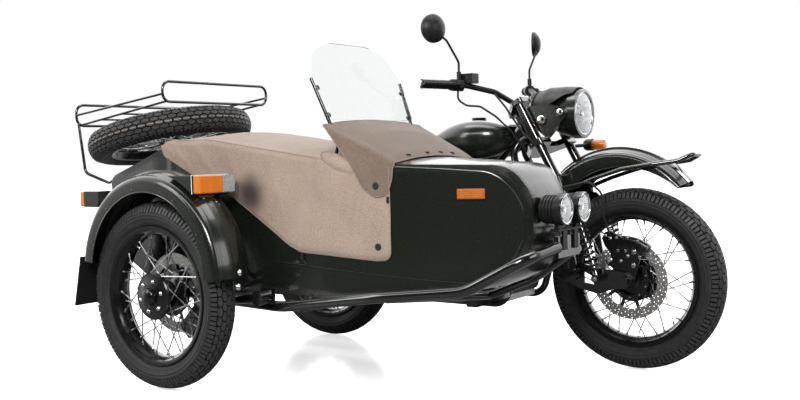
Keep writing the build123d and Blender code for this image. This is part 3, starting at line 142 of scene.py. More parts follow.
def lathe(shape, origin, axis, profile, steps=48, mark=0, closed=False, ends=(True, True)):
    """Turns (radius, along) points in mm about an axis through origin."""
    u, v = square_to(axis)
    w = axis.normalized()
    rings = []
    for radius, along in profile:
        ring = []
        for n in range(steps):
            a = 2 * pi * n / steps
            ring.append(origin + w * (along * MM) + (u * cos(a) + v * sin(a)) * (radius * MM))
        rings.append(ring)
    shape.skin(rings, ends, mark, loop=closed)


def bar(shape, start, end, radius, sides=10, mark=0, radius_end=None):
    """A straight round bar, in mm of radius, that may taper."""
    radius_end = radius if radius_end is None else radius_end
    length = (end - start).length / MM
    lathe(shape, start, end - start, [(radius, 0), (radius_end, length)], sides, mark)


def bolt(shape, spot, axis, radius, height, mark=0, washer=True):
    """A six sided head with a chamfer, on a washer."""
    axis = axis.normalized()
    if washer:
        lathe(shape, spot, axis, [(radius * 1.45, 0), (radius * 1.45, height * 0.22),
                                  (radius * 1.3, height * 0.3)], 16, mark)
    low = 0.3 * height if washer else 0.0
    lathe(shape, spot, axis, [(radius, low), (radius, height * 0.85), (radius * 0.8, height)], 6, mark)


def pipe(shape, points, radius, sides=10, mark=0, closed=False):
    """A round tube along points that doesn't twist. The radius is in mm, or one value a point."""
    count = len(points)
    rings, side = [], None
    for n, p in enumerate(points):
        ahead = points[(n + 1) % count] if closed else points[min(n + 1, count - 1)]
        back = points[(n - 1) % count] if closed else points[max(n - 1, 0)]
        along = (ahead - back).normalized()
        if side is None:
            side, _ = square_to(along)
        side = (side - along * side.dot(along)).normalized()
        up = along.cross(side)
        r = (radius[n] if isinstance(radius, list) else radius) * MM
        rings.append([p + (side * cos(2 * pi * k / sides) + up * sin(2 * pi * k / sides)) * r
                      for k in range(sides)])
    shape.skin(rings, (True, True), mark, loop=closed)


def soft_block(shape, centre, size, matrix=None, bevel=3.0, mark=0):
    """A box in mm with chamfered edges."""
    hx, hy, hz = (s / 2 for s in size)
    b = min(bevel, hx * 0.9, hy * 0.9, hz * 0.9)
    verts, index = [], {}
    for sx in (-1, 1):
        for sy in (-1, 1):
            for sz in (-1, 1):
                for k, p in enumerate(((hx, hy - b, hz - b), (hx - b, hy, hz - b), (hx - b, hy - b, hz))):
                    index[sx, sy, sz, k] = len(verts)
                    verts.append(Vector((sx * p[0], sy * p[1], sz * p[2])) * MM)
    faces = []
    signs = (-1, 1)
    for s in signs:
        faces.append([index[s, -1, -1, 0], index[s, 1, -1, 0], index[s, 1, 1, 0], index[s, -1, 1, 0]][::s])
        faces.append([index[-1, s, -1, 1], index[1, s, -1, 1], index[1, s, 1, 1], index[-1, s, 1, 1]][::-s])
        faces.append([index[-1, -1, s, 2], index[1, -1, s, 2], index[1, 1, s, 2], index[-1, 1, s, 2]][::s])
    for a in signs:
        for c in signs:
            faces.append([index[a, c, -1, 0], index[a, c, -1, 1], index[a, c, 1, 1],
                          index[a, c, 1, 0]][::a * c])
            faces.append([index[a, -1, c, 0], index[a, 1, c, 0], index[a, 1, c, 2],
                          index[a, -1, c, 2]][::a * c])
            faces.append([index[-1, a, c, 1], index[-1, a, c, 2], index[1, a, c, 2],
                          index[1, a, c, 1]][::a * c])
            for d in signs:
                faces.append([index[a, c, d, 0], index[a, c, d, 1], index[a, c, d, 2]][::-a * c * d])
    matrix = matrix or Matrix.Identity(4)
    shape.add([centre + matrix.to_3x3() @ v for v in verts], faces, mark)


def place(shape, name, materials, body, replaces=(), crease=35.0):
    """Makes the object from a shape, shades it, and lets it ride on a body."""
    mesh = bpy.data.meshes.new(name)
    mesh.from_pydata([tuple(v) for v in shape.verts], [], shape.faces)
    for n, polygon in enumerate(mesh.polygons):
        polygon.material_index = shape.marks[n]
        polygon.use_smooth = True
    for material in materials:
        mesh.materials.append(material)
    mesh.validate()
    solid = bmesh.new()
    solid.from_mesh(mesh)
    bmesh.ops.recalc_face_normals(solid, faces=solid.faces)
    solid.to_mesh(mesh)
    solid.free()
    mesh.update()
    mesh.set_sharp_from_angle(angle=radians(crease))
    made = bpy.data.objects.new(name, mesh)
    bpy.context.scene.collection.objects.link(made)
    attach(made, body)
    if replaces:
        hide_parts(*replaces)
    return made


# Finishes

class Graph:
    """A node tree with short calls that add a node, set its inputs and link others into them."""

    def __init__(self, owner):
        owner.use_nodes = True
        self.nodes, self.links = owner.node_tree.nodes, owner.node_tree.links

    def node(self, kind, values=None, links=None, **settings):
        made = self.nodes.new("ShaderNode" + kind)
        for key, value in settings.items():
            setattr(made, key, value)
        for key, value in (values or {}).items():
            made.inputs[key].default_value = value
        for key, source in (links or {}).items():
            self.links.new(source, made.inputs[key])
        return made

    def noise(self, spot, scale, detail):
        return self.node("TexNoise", {"Scale": scale, "Detail": detail}, {"Vector": spot}).outputs["Fac"]

    def ramp(self, factor, low, high, dark, light):
        made = self.node("ValToRGB", links={"Fac": factor})
        for stop, place_at, colour in zip(made.color_ramp.elements, (low, high), (dark, light)):
            stop.position = place_at
            stop.color = (*colour, 1)
        return made.outputs["Color"]

    def spread(self, value, low, high, to_low, to_high, **settings):
        values = {"From Min": low, "From Max": high, "To Min": to_low, "To Max": to_high}
        return self.node("MapRange", values, {"Value": value}, **settings).outputs["Result"]

    def bump(self, height, strength, distance):
        values = {"Strength": strength, "Distance": distance}
        return self.node("Bump", values, {"Height": height}).outputs["Normal"]

    def larger(self, first, second):
        return self.node("Math", links={0: first, 1: second}, operation="MAXIMUM").outputs["Value"]


def new_material(name):
    """A material, its graph, its shader and the object's own coordinates."""
    material = bpy.data.materials.new(name)
    graph = Graph(material)
    shader = graph.nodes["Principled BSDF"]
    return material, graph, shader, graph.node("TexCoord").outputs["Object"]


def finish(name, colour, rough, metal=0.0, vary=0.15, grain=60.0, rough_vary=0.08, bump=0.04,
           bump_scale=700.0, coat=0.0, coat_rough=0.05, specular=0.5, transmission=0.0, ior=1.45):
    """A principled finish whose colour, roughness and surface vary with procedural noise."""
    material, graph, shader, spot = new_material(name)
    dark, light = [c * (1 - vary) for c in colour], [min(1.0, c * (1 + vary)) for c in colour]
    tint = graph.ramp(graph.noise(spot, grain, 5.0), 0.3, 0.7, dark, light)
    graph.links.new(tint, shader.inputs["Base Color"])
    patchy = graph.noise(spot, grain * 0.2, 3.0)
    roughness = graph.spread(patchy, 0.3, 0.7, max(0.02, rough - rough_vary), min(1.0, rough + rough_vary))
    graph.links.new(roughness, shader.inputs["Roughness"])
    if bump:
        normal = graph.bump(graph.noise(spot, bump_scale, 2.0), bump, 0.001)
        graph.links.new(normal, shader.inputs["Normal"])
    for socket, value in (("Metallic", metal), ("Coat Weight", coat), ("Coat Roughness", coat_rough),
                          ("Specular IOR Level", specular), ("Transmission Weight", transmission),
                          ("IOR", ior)):
        shader.inputs[socket].default_value = value
    return material


GREEN = finish("green_paint", (0.0058, 0.0074, 0.0050), 0.24, vary=0.08, grain=900, rough_vary=0.04,
               bump=0.012, bump_scale=260, coat=0.35, coat_rough=0.06, specular=0.5)
BLACK = finish("black_paint", (0.0042, 0.0042, 0.0044), 0.18, vary=0.12, grain=300, bump=0.02,
               bump_scale=500, coat=0.8, coat_rough=0.06, specular=0.5)
SATIN = finish("black_satin", (0.0065, 0.0065, 0.0068), 0.42, vary=0.15, grain=300, bump=0.05, specular=0.22)
CASTING = finish("cast_aluminium", (0.30, 0.30, 0.29), 0.48, metal=0.85, vary=0.15, grain=90, bump=0.25,
                 bump_scale=900)
DARK_CAST = finish("black_casting", (0.022, 0.022, 0.023), 0.5, metal=0.2, vary=0.2, grain=90, bump=0.22,
                   bump_scale=900)
EXHAUST = finish("black_chrome", (0.02, 0.02, 0.021), 0.22, metal=0.7, vary=0.2, grain=25, bump=0.02)
RUBBER = finish("tyre_rubber", (0.0150, 0.0148, 0.0146), 0.60, vary=0.28, grain=45, rough_vary=0.1,
                bump=0.16, bump_scale=900, specular=0.35)
# The tread blocks' faces are painted lighter than the wall: a painted highlight.
TREAD_PAINTED_HIGHLIGHT = finish("tread_rubber_painted_highlight", (0.024, 0.0237, 0.0234), 0.55, vary=0.3, grain=120, rough_vary=0.1, bump=0.2,
               bump_scale=900, specular=0.4)
RED_LENS = finish("red_plastic", (0.42, 0.012, 0.008), 0.2, vary=0.08, grain=200, bump=0.02, coat=0.5)
GLASS_FACE = finish("mirror_glass", (0.78, 0.80, 0.82), 0.04, metal=1.0, vary=0.03, grain=60, bump=0.004,
                    rough_vary=0.01)
PLATE = finish("blank_plate", (0.55, 0.55, 0.53), 0.45, vary=0.06, grain=40, bump=0.05)
# The floor between the tread blocks is painted near black: painted shade in the grooves.
GROOVE_PAINTED_SHADE = finish("tread_groove_painted_shade", (0.0035, 0.0035, 0.0035), 0.8, vary=0.2, grain=120, bump=0.05, specular=0.2)
MOULD_LINE = finish("mould_line", (0.30, 0.24, 0.19), 0.8, vary=0.3, grain=160, bump=0.1)
RIM = finish("black_wheel", (0.0045, 0.0045, 0.0046), 0.2, vary=0.15, grain=200, bump=0.02, specular=0.5)
STEEL = finish("spoke_steel", (0.40, 0.405, 0.41), 0.28, metal=1.0, vary=0.12, grain=300, bump=0.02)
DISC = finish("brake_steel", (0.50, 0.49, 0.47), 0.38, metal=1.0, vary=0.18, grain=220, bump=0.06,
              bump_scale=500)
CHROME = finish("chrome", (0.72, 0.73, 0.74), 0.12, metal=1.0, vary=0.05, grain=100, bump=0.01)
SPRING = finish("spring_black", (0.006, 0.006, 0.006), 0.22, vary=0.15, grain=200, bump=0.03)
PLASTIC = finish("black_plastic", (0.0065, 0.0065, 0.0068), 0.45, vary=0.15, grain=200, bump=0.12,
                 bump_scale=1100, specular=0.3)
SOFT_RUBBER = finish("soft_rubber", (0.0055, 0.0055, 0.0055), 0.6, vary=0.2, grain=120, bump=0.2,
                     bump_scale=900)
VINYL = finish("seat_vinyl", (0.013, 0.0128, 0.0128), 0.55, vary=0.15, grain=140, bump=0.35, bump_scale=520)
AMBER = finish("amber_plastic", (0.74, 0.20, 0.012), 0.18, vary=0.06, grain=200, bump=0.02, coat=0.5,
               transmission=0.35)
AMBER_DEEP = finish("amber_inner", (0.33, 0.085, 0.004), 0.35, vary=0.12, grain=160, bump=0.02)
CLEAR = finish("clear_plastic", (0.80, 0.80, 0.76), 0.12, vary=0.04, grain=200, bump=0.02, transmission=0.75)
MIRROR = finish("reflector", (0.34, 0.345, 0.355), 0.12, metal=1.0, vary=0.03, grain=120, bump=0.01)
LAMP_GLASS = finish("lamp_glass", (0.98, 0.99, 1.0), 0.03, vary=0.01, grain=200, bump=0.0, rough_vary=0.01,
                    transmission=1.0, ior=1.3)
GLAZING = finish("screen_glazing", (0.90, 0.912, 0.912), 0.05, vary=0.01, grain=40, bump=0.0,
                 rough_vary=0.02, transmission=1.0, ior=1.12)
GASKET = finish("white_gasket", (0.55, 0.55, 0.54), 0.6, vary=0.1, grain=200, bump=0.05)
DIAL = finish("dial_face", (0.02, 0.02, 0.02), 0.5, vary=0.1, grain=200, bump=0.02)


def canvas_finish(name, colour, painted_shadow=None):
    """Woven canvas: fine threads both ways, flecks of lighter yarn, faint soiling, and a painted shadow if
    given.
    """
    material, graph, shader, spot = new_material(name)

    def threads(rotation):
        turned = graph.node("Mapping", {"Rotation": rotation}, {"Vector": spot}).outputs["Vector"]
        values = {"Scale": 260.0, "Distortion": 2.0, "Detail": 2.0}
        return graph.node("TexWave", values, {"Vector": turned}).outputs["Fac"]

    warp, weft = threads((0, 0, 0)), threads((0, pi / 2, pi / 4))
    weave = graph.node("Math", links={0: warp, 1: weft}, operation="MULTIPLY").outputs["Value"]
    flecks = graph.ramp(graph.noise(spot, 340.0, 3.0), 0.35, 0.65, [c * 0.76 for c in colour],
                        [c * 1.20 for c in colour])
    soil = {"A": flecks, "B": graph.noise(spot, 7.0, 4.0)}
    cloth = graph.node("Mix", links=soil, data_type="RGBA", blend_type="MULTIPLY")
    cloth.inputs["Factor"].default_value = 0.38
    tint = cloth.outputs["Result"]
    # Painted shadow: the cloth turns a near-black brown towards a given centre and fades out over its reach.
    if painted_shadow:
        centre, reach, depth = painted_shadow
        away = graph.node("VectorMath", {1: centre}, {0: spot}, operation="DISTANCE").outputs["Value"]
        shadow_mask = graph.spread(away, reach * 0.1, reach, depth, 0.0, interpolation_type="SMOOTHSTEP")
        dark = graph.node("Mix", links={"Factor": shadow_mask, "A": tint}, data_type="RGBA")
        dark.inputs["B"].default_value = (0.018, 0.010, 0.008, 1)
        tint = dark.outputs["Result"]
    graph.links.new(tint, shader.inputs["Base Color"])
    graph.links.new(graph.bump(weave, 0.35, 0.0008), shader.inputs["Normal"])
    for socket, value in (("Roughness", 0.9), ("Sheen Weight", 0.25), ("Specular IOR Level", 0.2)):
        shader.inputs[socket].default_value = value
    return material


# The canvas carries a painted shadow of the fender lamp box: a dark round patch on the tub's near wall beside
# the lamp.
CANVAS = canvas_finish("canvas", (0.335, 0.254, 0.200), (at(458, -992, 704), 0.105, 0.93))
APRON_CANVAS = canvas_finish("apron_canvas", (0.175, 0.128, 0.097))
HEM = canvas_finish("canvas_hem", (0.27, 0.195, 0.148))


def rounded_edges(material, name, reach):
    """The same finish with edges that catch the light as if they were rounded."""
    made = material.copy()
    made.name = name
    nodes, links = made.node_tree.nodes, made.node_tree.links
    rounder = nodes.new("ShaderNodeBevel")
    rounder.samples = 6
    rounder.inputs["Radius"].default_value = reach
    for node in nodes:
        if node.bl_idname == "ShaderNodeBump":
            links.new(rounder.outputs["Normal"], node.inputs["Normal"])
    return made


TUB_GREEN = rounded_edges(GREEN, "tub_green_paint", 0.034)
BOX_GREEN = rounded_edges(GREEN, "box_green_paint", 0.006)

NODES_BY_FINISH = (
    (BLACK, "front_fork leading_link fender_guard bike_frame rear_swingarm footrests "
     "sidecar_frame sidecar_mounts sidecar_swingarm spare_carrier luggage_rack "
     "screen_frame"),
    (DARK_CAST, "brake_caliper engine_case"),
    (GREEN, "front_fender headlamp_shell fuel_tank side_covers rear_fender sidecar_fender"),
    (PLASTIC, "instrument_cover mirrors front_signal_cup rear_signal_cup intakes tail_lamp"),
    (SATIN, "handlebar fog_lamps"),
    (SOFT_RUBBER, "grips mudflap control_cables"),
    (CASTING, "engine_cylinders"),
    (EXHAUST, "exhaust"),
    (TUB_GREEN, "sidecar_body trunk_lid"),
    (BOX_GREEN, "fender_lamp_boxes"),
    (DISC, "front_disc sidecar_disc"),
    (GLAZING, "windscreen"),
    (CLEAR, "clear_lens"),
    (AMBER, "amber_lenses side_reflector rear_signal_lens front_signal_lens"),
    (VINYL, "seat"),
    (CANVAS, "tonneau"),
    (APRON_CANVAS, "screen_apron"),
    (LAMP_GLASS, "headlamp_lens fog_lenses"),
    (SPRING, "front_shocks rear_shocks sidecar_shock"),
    (RIM, "front_wheel rear_wheel sidecar_wheel spare_wheel"),
    (RUBBER, "front_tyre rear_tyre sidecar_tyre spare_tyre"),
)
for node_finish, node_names in NODES_BY_FINISH:
    for node_name in node_names.split():
        data = NODES[node_name].data
        data.materials.clear()
        data.materials.append(node_finish)


# Tyres

TREAD_HALF = 48.0
TREAD_DROP = 19.0
CROWN_R = (TREAD_HALF ** 2 + TREAD_DROP ** 2) / (2 * TREAD_DROP)
CROWN_ARC = CROWN_R * asin(TREAD_HALF / CROWN_R)
BLOCK_DEPTH = 6.5
BLOCK_COUNT = 60
TYRE_ACROSS = 90
TYRE_ROUND = 120


def circle_through(a, b, c):
    """Centre and radius of the circle through three points of a plane."""
    d = 2 * (a[0] * (b[1] - c[1]) + b[0] * (c[1] - a[1]) + c[0] * (a[1] - b[1]))
    sq = [p[0] ** 2 + p[1] ** 2 for p in (a, b, c)]
    x = (sq[0] * (b[1] - c[1]) + sq[1] * (c[1] - a[1]) + sq[2] * (a[1] - b[1])) / d
    y = (sq[0] * (c[0] - b[0]) + sq[1] * (a[0] - c[0]) + sq[2] * (b[0] - a[0])) / d
    return (x, y), hypot(a[0] - x, a[1] - y)


SIDE_TOP = (TYRE_R - TREAD_DROP, TREAD_HALF)
SIDE_MID = (TYRE_R - 54.0, 54.0)
SIDE_LOW = (256.0, 38.0)
SIDE_CENTRE, SIDE_R = circle_through(SIDE_TOP, SIDE_MID, SIDE_LOW)


def tyre_surface(t, depth):
    """Radius and side distance at arc length t from the tread's middle, depth mm under the surface."""
    sign = 1 if t >= 0 else -1
    t = abs(t)
    if t <= CROWN_ARC:
        a = t / CROWN_R
        return (TYRE_R - CROWN_R + (CROWN_R - depth) * cos(a), sign * (CROWN_R - depth) * sin(a))
    first = atan2(SIDE_TOP[1] - SIDE_CENTRE[1], SIDE_TOP[0] - SIDE_CENTRE[0])
    a = first + (t - CROWN_ARC) / SIDE_R
    r = SIDE_R - depth
    return (SIDE_CENTRE[0] + r * cos(a), sign * (SIDE_CENTRE[1] + r * sin(a)))


def tyre_point(t, depth, angle):
    """The place of tyre_surface at an angle round the axle."""
    radius, y = tyre_surface(t, depth)
    return hub_place(radius, angle, y)


def tread_block(shape, outline, t0, angle0, depth, chamfer=1.1, mark=1):
    """A raised block with a chamfered rim, from its outline in mm round and across the tread."""
    rings = []
    for inset, d in ((0.0, depth), (0.0, chamfer), (chamfer, 0.0)):
        ring = []
        for u, v in outline:
            length = hypot(u, v)
            k = (length - inset) / length
            ring.append(tyre_point(t0 + v * k, d, angle0 + u * k / TYRE_R))
        rings.append(ring)
    shape.skin(rings, (False, True), mark)


def tyre_shape(mould_line=False):
    """A tyre. Marks: 0 wall, 1 tread blocks painted lighter as highlight, 2 line left by the mould, 3 floor
    between the blocks painted near black as shade.
    """
    shape = Shape()
    side_end = CROWN_ARC + 78.0
    profile = []
    for n in range(TYRE_ACROSS + 1):
        t = -side_end + 2 * side_end * n / TYRE_ACROSS
        inner = BLOCK_DEPTH * max(0.0, min(1.0, (CROWN_ARC + 22 - abs(t)) / 8))
        ridge = -1.2 if min(abs(abs(t) - CROWN_ARC - line) for line in (28, 40, 58)) < 1.8 else 0.0
        profile.append(tyre_surface(t, inner + ridge))
    profile += [(250.0, 37.6), (243.6, 37.6), (243.6, -37.6), (250.0, -37.6)]
    lathe(shape, Vector(), FAR, profile, TYRE_ROUND, 0, closed=True)
    for n in range(TYRE_ACROSS):
        middle_t = -side_end + 2 * side_end * (n + 0.5) / TYRE_ACROSS
        # The tread's floor between the blocks takes the painted shade of the grooves.
        if abs(middle_t) < CROWN_ARC + 19:
            shape.marks[n * TYRE_ROUND:(n + 1) * TYRE_ROUND] = [3] * TYRE_ROUND
    pitch = 2 * pi * TYRE_R / BLOCK_COUNT
    width, height, gap = pitch, 23.5, 4.4
    hexagon = [(0, height / 2), (width / 2, height / 4), (width / 2, -height / 4), (0, -height / 2),
               (-width / 2, -height / 4), (-width / 2, height / 4)]
    hexagon = [(u * (1 - gap / width), v * (1 - gap / height)) for u, v in hexagon]
    for n in range(BLOCK_COUNT):
        for row in range(-2, 3):
            angle = 2 * pi * (n + 0.5 * (row % 2)) / BLOCK_COUNT
            tread_block(shape, hexagon, row * 17.8, angle, BLOCK_DEPTH)
        for side in (-1, 1):
            for k in (-1, 1):
                angle = 2 * pi * (n + 0.5) / BLOCK_COUNT + k * 8.6 / TYRE_R
                long = 14.5 if (n + (k > 0)) % 2 else 12.5
                rib = [(6.3, long), (6.3, -long), (-6.3, -long), (-6.3, long)]
                tread_block(shape, rib, side * (CROWN_ARC + 6.5), angle, BLOCK_DEPTH, 1.3)
    if mould_line:
        for n in range(BLOCK_COUNT):
            line = [(13.6, 1.1), (13.6, -1.1), (-13.6, -1.1), (-13.6, 1.1)]
            angle = 2 * pi * n / BLOCK_COUNT
            rings = [[tyre_point(v, -0.25, angle + u / TYRE_R) for u, v in line]]
            shape.add(rings[0], [(3, 2, 1, 0)], 2)
    return shape


# Wheels

SPOKE_COUNT = 36
HUB_FLANGE_R = 84.0
HUB_FLANGE_Y = 38.0


def wheel_shape():
    """Rim, spokes with nipples, and hub. Marks: 0 black paint, 1 spokes, 2 hub."""
    shape = Shape()
    rim = [(254, 44.3), (255.2, 42.5), (254.6, 39.4), (252, 38.3), (243, 38.3), (243, -38.3), (252, -38.3),
           (254.6, -39.4), (255.2, -42.5), (254, -44.3), (250, -44.6), (243, -43.4), (238, -41.5),
           (235.5, -36), (231, -27), (225.5, -21), (223, -14), (222.4, 0), (223, 14), (225.5, 21), (231, 27),
           (235.5, 36), (238, 41.5), (243, 43.4), (250, 44.6)]
    lathe(shape, Vector(), FAR, rim, 120, 0, closed=True)
    hub = [(10.5, -50), (30, -50), (33, -48.5), (34, -44), (52, -43.5), (82, -42), (84.5, -39.5),
           (84.5, -36.5), (82, -34.5), (56, -34), (48, -28), (44, 0), (48, 28), (56, 34), (82, 34.5),
           (84.5, 36.5), (84.5, 39.5), (82, 42), (52, 43.5), (34, 44), (33, 48.5), (30, 50), (10.5, 50)]
    lathe(shape, Vector(), FAR, hub, 64, 2, closed=True)
    for n in range(SPOKE_COUNT):
        side = 1 if n % 2 else -1
        pair = (n // 2) % 2
        rim_angle = 2 * pi * n / SPOKE_COUNT
        hub_angle = rim_angle + radians(54.0 if pair else -54.0)
        hub_y = side * (HUB_FLANGE_Y + (4.4 if pair else -4.4))
        hub_r = HUB_FLANGE_R - 7
        start, end = hub_place(hub_r, hub_angle, hub_y), hub_place(224, rim_angle, side * 9.0)
        bar(shape, start, end, 2.3, 8, 1)
        along = (end - start).normalized()
        nipple = [(2.5, 0), (3.6, 1.5), (3.6, 11), (4.8, 13), (4.8, 19)]
        lathe(shape, end - along * 0.016, along, nipple, 8, 1)
        lathe(shape, start, Vector((0, side * (1 if pair else -1), 0)),
              [(3.6, -1.5), (3.6, 1.0), (2.2, 2.2)], 8, 1)
    return shape


def placed_at(centre, tilt=None):
    """The matrix that turns a shape by tilt and takes it to centre."""
    made = Matrix.Translation(centre)
    return made @ tilt if tilt else made


SPARE_TILT = radians(12.6)
SPARE_TURN = Matrix.Rotation(-SPARE_TILT, 4, "Y") @ Matrix.Rotation(radians(90), 4, "X")
SPARE_CENTRE = middle("spare_wheel")
WHEEL = wheel_shape()
TYRE = tyre_shape()
for wheel_name, centre, turn, body in (
        ("front", FRONT_AXLE, None, "front_wheel_body"), ("rear", REAR_AXLE, None, "rear_wheel_body"),
        ("sidecar", SIDE_AXLE, None, "sidecar_wheel_body"), ("spare", SPARE_CENTRE, SPARE_TURN, "lid")):
    where = placed_at(centre, turn)
    tyre = tyre_shape(True) if wheel_name == "spare" else TYRE
    place(tyre.moved(where), wheel_name + "_tyre_skin", [RUBBER, TREAD_PAINTED_HIGHLIGHT, MOULD_LINE, GROOVE_PAINTED_SHADE], body,
          [wheel_name + "_tyre"], 30)
    place(WHEEL.moved(where), wheel_name + "_spoked_wheel", [RIM, STEEL, RIM], body,
          [wheel_name + "_wheel"], 40)


# Canvas covers

TUB_Y = -700.0


def rounded_path(points, radii, steps=8):
    """Dense points along a polyline whose inner corners are rounded with the given radii, all in mm."""
    points = [Vector(p) for p in points]
    made = [points[0]]
    for n in range(1, len(points) - 1):
        p = points[n]
        back, ahead = (points[n - 1] - p), (points[n + 1] - p)
        half = back.angle(ahead) / 2
        reach = min(radii[n] / max(tan(half), 1e-6), back.length * 0.5, ahead.length * 0.5)
        radius = reach * tan(half)
        a, b = back.normalized(), ahead.normalized()
        if half > radians(89.5) or radius < 0.01:
            made.append(p)
            continue
        centre = p + (a + b).normalized() * (radius / sin(half))
        start, end = p + a * reach - centre, p + b * reach - centre
        turn = start.angle(end)
        for k in range(steps + 1):
            t = k / steps
            made.append(centre + (start * sin((1 - t) * turn) + end * sin(t * turn)) / sin(turn))
    made.append(points[-1])
    return made


def height_at(path, x):
    """The height of a path of (x, z) points, ordered along x, at x."""
    if x <= path[0].x:
        return path[0].y
    for a, b in zip(path, path[1:]):
        if a.x <= x <= b.x and b.x > a.x:
            return a.y + (b.y - a.y) * (x - a.x) / (b.x - a.x)
    return path[-1].y


PLAN = rounded_path([(-460, 258), (-50, 288), (820, 283), (1130, 243), (1600, 72)],
                    [0, 500, 700, 450, 0], 12)


def tub_half(x):
    """Half the tub's width at x, in mm."""
    return height_at(PLAN, x)


CROWN_HALF = 320.0


def crown_height(side, mid, x, y):
    """The height of a crowned top at x and y, from the heights along its side and along its middle."""
    low, high = height_at(side, x), height_at(mid, x)
    return low + (high - low) * (1 - min(1.0, abs(y) / CROWN_HALF) ** 2)


def thinned(path, longest):
    """The path with points added so that no span is longer than given."""
    made = [path[0]]
    for a, b in zip(path, path[1:]):
        count = max(1, ceil((b - a).length / longest))
        made += [a + (b - a) * k / count for k in range(1, count + 1)]
    return [made[0]] + [q for p, q in zip(made, made[1:]) if (q - p).length > 0.3]


class Cover:
    """A fabric cover over the tub: its hem path, its crowned top, and how far out it stands."""

    def __init__(self, side, mid, hem, out, shoulder, folds, ripple):
        self.side, self.mid, self.hem, self.out = side, mid, hem, out
        self.shoulder, self.folds, self.ripple = shoulder, folds, ripple

    def section(self, x, hem_z):
        """Points across the cover at x from the near hem to the far one, with their outward directions."""
        out = self.out(x)
        wall = tub_half(x) + out
        top = crown_height(self.side, self.mid, x, wall) + out
        round_r = min(self.shoulder(x), max(1.0, (top - hem_z) * 0.8))
        made = []
        drop = max(0.0, top - round_r - hem_z)
        for k in range(14):
            made.append((-wall, hem_z + drop * k / 14, -1.0, 0.0))
        for k in range(9):
            a = pi / 2 * k / 8
            made.append((-wall + round_r * (1 - cos(a)), top - round_r + round_r * sin(a),
                         -cos(a), sin(a)))
        inner = wall - round_r
        for k in range(1, 17):
            y = -inner + inner * k / 16
            lift = crown_height(self.side, self.mid, x, y) + out
            blend = 1 - (abs(y) / inner) ** 8
            made.append((y, top + (lift - top) * blend, 0.0, 1.0))
        return made + [(-y, z, -ny, nz) for y, z, ny, nz in made[-2::-1]]

    def pushed(self, x, y, z, ny, nz, rim):
        """The wrinkled place of a point."""
        rise = 0.0
        for (x0, z0), (x1, z1), height, width, side in self.folds:
            if side * y < 0:
                continue
            dx, dz = x1 - x0, z1 - z0
            t = max(0.0, min(1.0, ((x - x0) * dx + (z - z0) * dz) / (dx * dx + dz * dz)))
            gap = hypot(x - x0 - dx * t, z - z0 - dz * t)
            taper = sin(pi * min(1.0, max(0.0, 0.1 + 0.8 * t)))
            rise += 1.35 * height * taper * exp(-(gap / width) ** 2)
        spot = Vector((x * 0.006, y * 0.006, z * 0.008))
        rise += self.ripple * noise.noise(spot) + self.ripple * 0.4 * noise.noise(spot * 3.1)
        rise = max(-1.6, rise) * rim
        return Vector((x, TUB_Y + y + ny * rise, z + nz * rise))

    def build(self, shape, mark=0, hem_mark=1):
        grid = []
        for p in self.hem:
            section = self.section(p.x, p.y)
            count = len(section)
            row = []
            for k, (y, z, ny, nz) in enumerate(section):
                rim = min(1.0, k / 5, (count - 1 - k) / 5)
                row.append(self.pushed(p.x, y, z, ny, nz, 0.25 + 0.75 * rim))
            grid.append(row)
        count = len(grid[0])
        verts = [at(*v) for row in grid for v in row]
        faces = [(a * count + k, a * count + k + 1, (a + 1) * count + k + 1, (a + 1) * count + k)
                 for a in range(len(grid) - 1) for k in range(count - 1)]
        shape.add(verts, faces, mark)
        border = [row[0] for row in grid] + grid[-1][1:] + [row[-1] for row in reversed(grid[:-1])]
        border += grid[0][-2:0:-1]
        pipe(shape, [at(*v) for v in border], 1.7, 8, hem_mark, closed=True)
        area = 0.0
        for a in range(len(grid) - 1):
            for k in range(count - 1):
                d1 = grid[a + 1][k + 1] - grid[a][k]
                d2 = grid[a + 1][k] - grid[a][k + 1]
                area += d1.cross(d2).length / 2e6
        return area


TONNEAU = Cover(
    rounded_path([(-6, 882), (40, 904), (240, 900), (820, 812), (1060, 798)], [0, 60, 200, 300, 0]),
    rounded_path([(-6, 903), (60, 918), (240, 932), (820, 853), (1060, 826)], [0, 60, 200, 300, 0]),
    thinned(rounded_path([(-4, 881), (10, 850), (36, 838), (147, 785), (372, 694), (512, 607), (640, 526),
                          (690, 506), (813, 500), (1000, 486), (1052, 490), (1052, 545)],
                         [0, 26, 50, 200, 200, 200, 60, 60, 300, 100, 34, 0]), 11.0),
    lambda x: 3.6, lambda x: 5.0 if x < 20 else min(24.0, 5.0 + (x - 20) * 0.3),
    [((70, 880), (150, 800), 5.0, 10, -1), ((120, 892), (215, 778), -1.6, 12, -1),
     ((180, 893), (300, 740), 5.2, 13, -1), ((330, 880), (430, 700), 3.6, 17, -1),
     ((30, 890), (75, 842), 4.4, 9, -1), ((540, 850), (640, 560), 4.5, 16, -1),
     ((700, 800), (960, 590), 4.6, 18, -1), ((620, 548), (960, 540), 9.5, 10, -1),
     ((880, 760), (700, 640), 2.8, 22, -1), ((470, 850), (520, 660), 3.0, 12, -1),
     ((790, 740), (830, 580), 2.8, 13, -1), ((70, 880), (150, 800), 2.6, 9, 1),
     ((180, 893), (300, 740), 2.6, 11, 1), ((640, 560), (960, 545), 2.4, 13, 1),
     ((330, 880), (430, 700), 1.8, 16, 1)],
    3.4)
